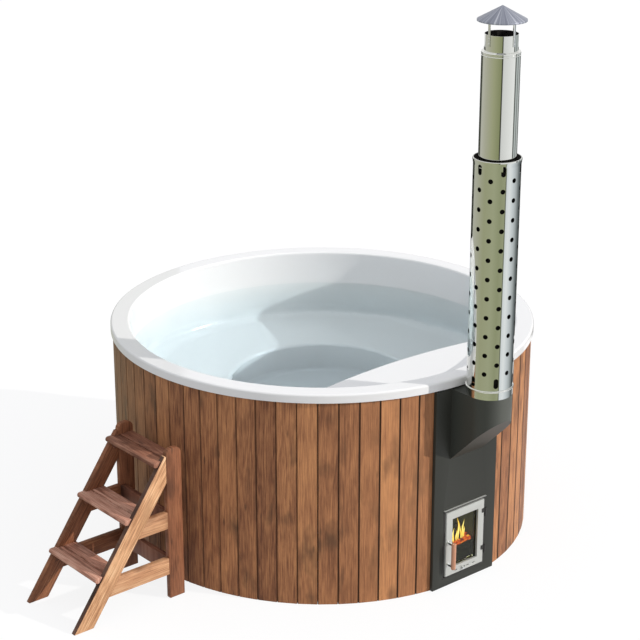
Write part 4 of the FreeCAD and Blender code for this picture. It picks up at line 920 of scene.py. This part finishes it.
world = bpy.data.worlds.new("white studio")
scene.world = world
world.use_nodes = True
tree = world.node_tree
tree.nodes.clear()
fill = add(tree, "Background", [linear(FILL), FILL_STRENGTH])
white = add(tree, "Background", [WHITE, 1.0])
tree.links.new(add(tree, "MixShader", [seen_directly(tree), fill, white]),
               tree.nodes.new("ShaderNodeOutputWorld").inputs["Surface"])
print("background", world.name)

# %% [markdown]
# ## The floor
# A pale floor keeps a soft shadow. It glows for the eye, so it blends into the background. Under the tub it
# doesn't glow, so it stays dark behind the joints of the staves.

# %% Floor
FLOOR_SIZE, FLOOR_HEIGHT = 80.0, -0.0008
# the glow starts and is full at these distances from the tub's axis
GLOW_START, GLOW_FULL, GLOW_SHARE = 0.955, 0.975, 0.8

pale = bpy.data.materials.new("pale studio floor")
pale.use_nodes = True
tree = pale.node_tree
shade = add(tree, "BsdfDiffuse", [(0.8, 0.8, 0.8, 1.0)])
lit = add(tree, "Emission", [WHITE, 1.06])
x, y, z = place_xyz(tree)
away = add(tree, "VectorMath", [add(tree, "CombineXYZ", [x, y])], out="Value", operation="LENGTH")
glow = add(tree, "MapRange", [away, GLOW_START, GLOW_FULL, 0.0, GLOW_SHARE])
seen = add(tree, "MixShader", [glow, shade, lit])
dull = add(tree, "BsdfDiffuse", [(0.33, 0.33, 0.33, 1.0)])
surface(pale, add(tree, "MixShader", [seen_directly(tree), dull, seen]))
bpy.ops.object.select_all(action="DESELECT")
bpy.ops.mesh.primitive_plane_add(size=FLOOR_SIZE, location=(0.0, 0.0, FLOOR_HEIGHT))
floor = bpy.context.object
floor.name = "studio_floor"
floor.data.materials.append(pale)
print("floor", floor.name)

# %% [markdown]
# ## The sun
# A crisp sun throws the rim's shadow into the tub. A wide weak one from the eye's side lifts the shade, and
# mirrors don't show it. Both are a little warm, because the fill light is a little blue.

# %% Sun
SUN_HEIGHT = math.radians(27.0)
SUNLIGHT = (1.0, 0.965, 0.925)
EYE_SIDE = Vector((-0.55, -0.6, 0.58))

towards_sun = Vector((*(side * math.cos(SUN_HEIGHT) for side in SUN_SIDE), math.sin(SUN_HEIGHT)))
# name, energy, width in degrees and direction
for name, energy, width, towards in (("studio_sun", 2.45, 0.6, towards_sun),
                                     ("eye_side_glow", 0.36, 70.0, EYE_SIDE)):
    lamp = bpy.data.objects.new(name, bpy.data.lights.new(name, "SUN"))
    lamp.data.energy = energy
    lamp.data.color = SUNLIGHT
    lamp.data.angle = math.radians(width)
    lamp.rotation_euler = towards.to_track_quat("Z", "Y").to_euler()
    lamp.visible_glossy = towards is towards_sun
    scene.collection.objects.link(lamp)
    print("lamp", name)

# %% [markdown]
# ## Walls for the mirror steel
# Mirror steel shows only what stands round it. Curved glowing walls, seen by reflections alone, draw the
# flue's bands: olive on the left, a thin dark line, pale on the right and dark at the edges. Each wall is a
# circle drawn up into a band, with the faces in front or behind deleted. Its colours follow the bearing
# from the eye, rightwards. The flue's top mirrors the high and the far wall, and the guard the low and the
# back one. The water, a perfect mirror, sees them white.

# %% Mirror walls
TO_EYE = Vector((-0.6455, -0.7638, 0.0))
NEAR, MIDDLE, FAR = 2.1, 3.2, 6.5
GLOW = 1.42
# the near walls meet at this height, and end at these bearings
SPLIT = 1.435
LEFT_END, RIGHT_END = -136, 144
# bearing and colour as the steel shows it
HIGH = [(LEFT_END, "#55584c"), (-126, "#b0b0a6"), (-85, "#a4a493"), (-40, "#979a7b"), (0, "#818663"),
        (3, "#30322a"), (7, "#30322a"), (10, "#cacbcb"), (45, "#d6d7d7"), (86, "#e2e3e3"), (90, "#4c504c"),
        (96, "#4c504c"), (99, "#a9b0b0"), (110, "#b4baba"), (113, "#5a5f5f"), (118, "#5a5f5f"),
        (121, "#b8bdbd"), (RIGHT_END, "#8a8f8f")]
LOW = [(LEFT_END, "#a9aa9f"), (-95, "#a0a18f"), (-60, "#939679"), (-15, "#979b7f"), (15, "#8a8f71"),
       (37, "#92967a"), (39, "#5f6350"), (41, "#5f6350"), (43, "#ccd1d5"), (60, "#d9dde0"), (80, "#c2c8cd"),
       (100, "#a3a9ac"), (118, "#6c7274"), (135, "#474c4e"), (RIGHT_END, "#474c4e")]
DARK = [(-180, "#3c3e38"), (180, "#3c3e38")]


def in_front(turn):
    """Whether a bearing lies on the eye's side."""
    return LEFT_END < turn < RIGHT_END


def behind(turn):
    """Whether a bearing lies on the far side."""
    return turn < LEFT_END or turn > RIGHT_END


def mirror_wall(name, radius, low, high, colours, kept):
    """A band round the flue that only reflections see."""
    bpy.ops.object.select_all(action="DESELECT")
    facing_eye = math.atan2(TO_EYE.y, TO_EYE.x)
    bpy.ops.mesh.primitive_circle_add(vertices=240, radius=radius, location=(*FLUE, 0.0),
                                      rotation=(0.0, 0.0, facing_eye))
    wall = bpy.context.object
    wall.name = name
    bpy.ops.object.mode_set(mode="EDIT")
    bpy.ops.mesh.select_mode(type="VERT")
    bpy.ops.transform.translate(value=(0.0, 0.0, low))
    bpy.ops.mesh.extrude_region_move(TRANSFORM_OT_translate={"value": (0.0, 0.0, high - low)})
    pick(wall, "FACE", lambda face: not kept(math.degrees(math.atan2(face.center.y, face.center.x))))
    bpy.ops.mesh.delete(type="FACE")
    bpy.ops.object.mode_set(mode="OBJECT")
    for rays in ("camera", "diffuse", "transmission", "shadow", "volume_scatter"):
        setattr(wall, f"visible_{rays}", False)
    material = bpy.data.materials.new(name)
    material.use_nodes = True
    tree = material.node_tree
    x, y, z = place_xyz(tree)
    bearing = calc(tree, "ARCTAN2", y, x)
    share = add(tree, "MapRange", [bearing, -math.pi, math.pi, 0.0, 1.0])
    band = ramp(tree, share, *((turn / 360 + 0.5, code) for turn, code in colours))
    surface(material, add(tree, "MixShader", [
        add(tree, "LightPath", out="Is Singular Ray"), add(tree, "Emission", [band, GLOW]),
        add(tree, "Emission", [WHITE, 1.0])]))
    wall.data.materials.append(material)
    print("wall", name, len(wall.data.polygons), "faces")


mirror_wall("high_wall", NEAR, SPLIT, 2.4, HIGH, in_front)
mirror_wall("low_wall", NEAR, 0.02, SPLIT, LOW, in_front)
mirror_wall("back_wall", MIDDLE, 0.02, 1.12, DARK, behind)
mirror_wall("far_wall", FAR, 0.1, 1.1, DARK, behind)

# %% [markdown]
# ## Camera
# The camera stands where the photograph's did: its place, tilt and lens were solved from points on the rim,
# the flue and the steps.

# %% Camera
CAMERA_PLACE = (-5.2415, -6.1873, 4.0189)
CAMERA_PITCH = math.radians(20.569)
# in millimetres
LENS, SENSOR = 102.44, 36.0

camera_data = bpy.data.cameras.new("camera")
camera_data.lens = LENS
camera_data.sensor_width = SENSOR
camera = bpy.data.objects.new("camera", camera_data)
scene.collection.objects.link(camera)
camera.location = CAMERA_PLACE
look = -TO_EYE * math.cos(CAMERA_PITCH) - Vector((0.0, 0.0, math.sin(CAMERA_PITCH)))
camera.rotation_euler = look.to_track_quat("-Z", "Y").to_euler()
scene.camera = camera
print("camera at", CAMERA_PLACE)
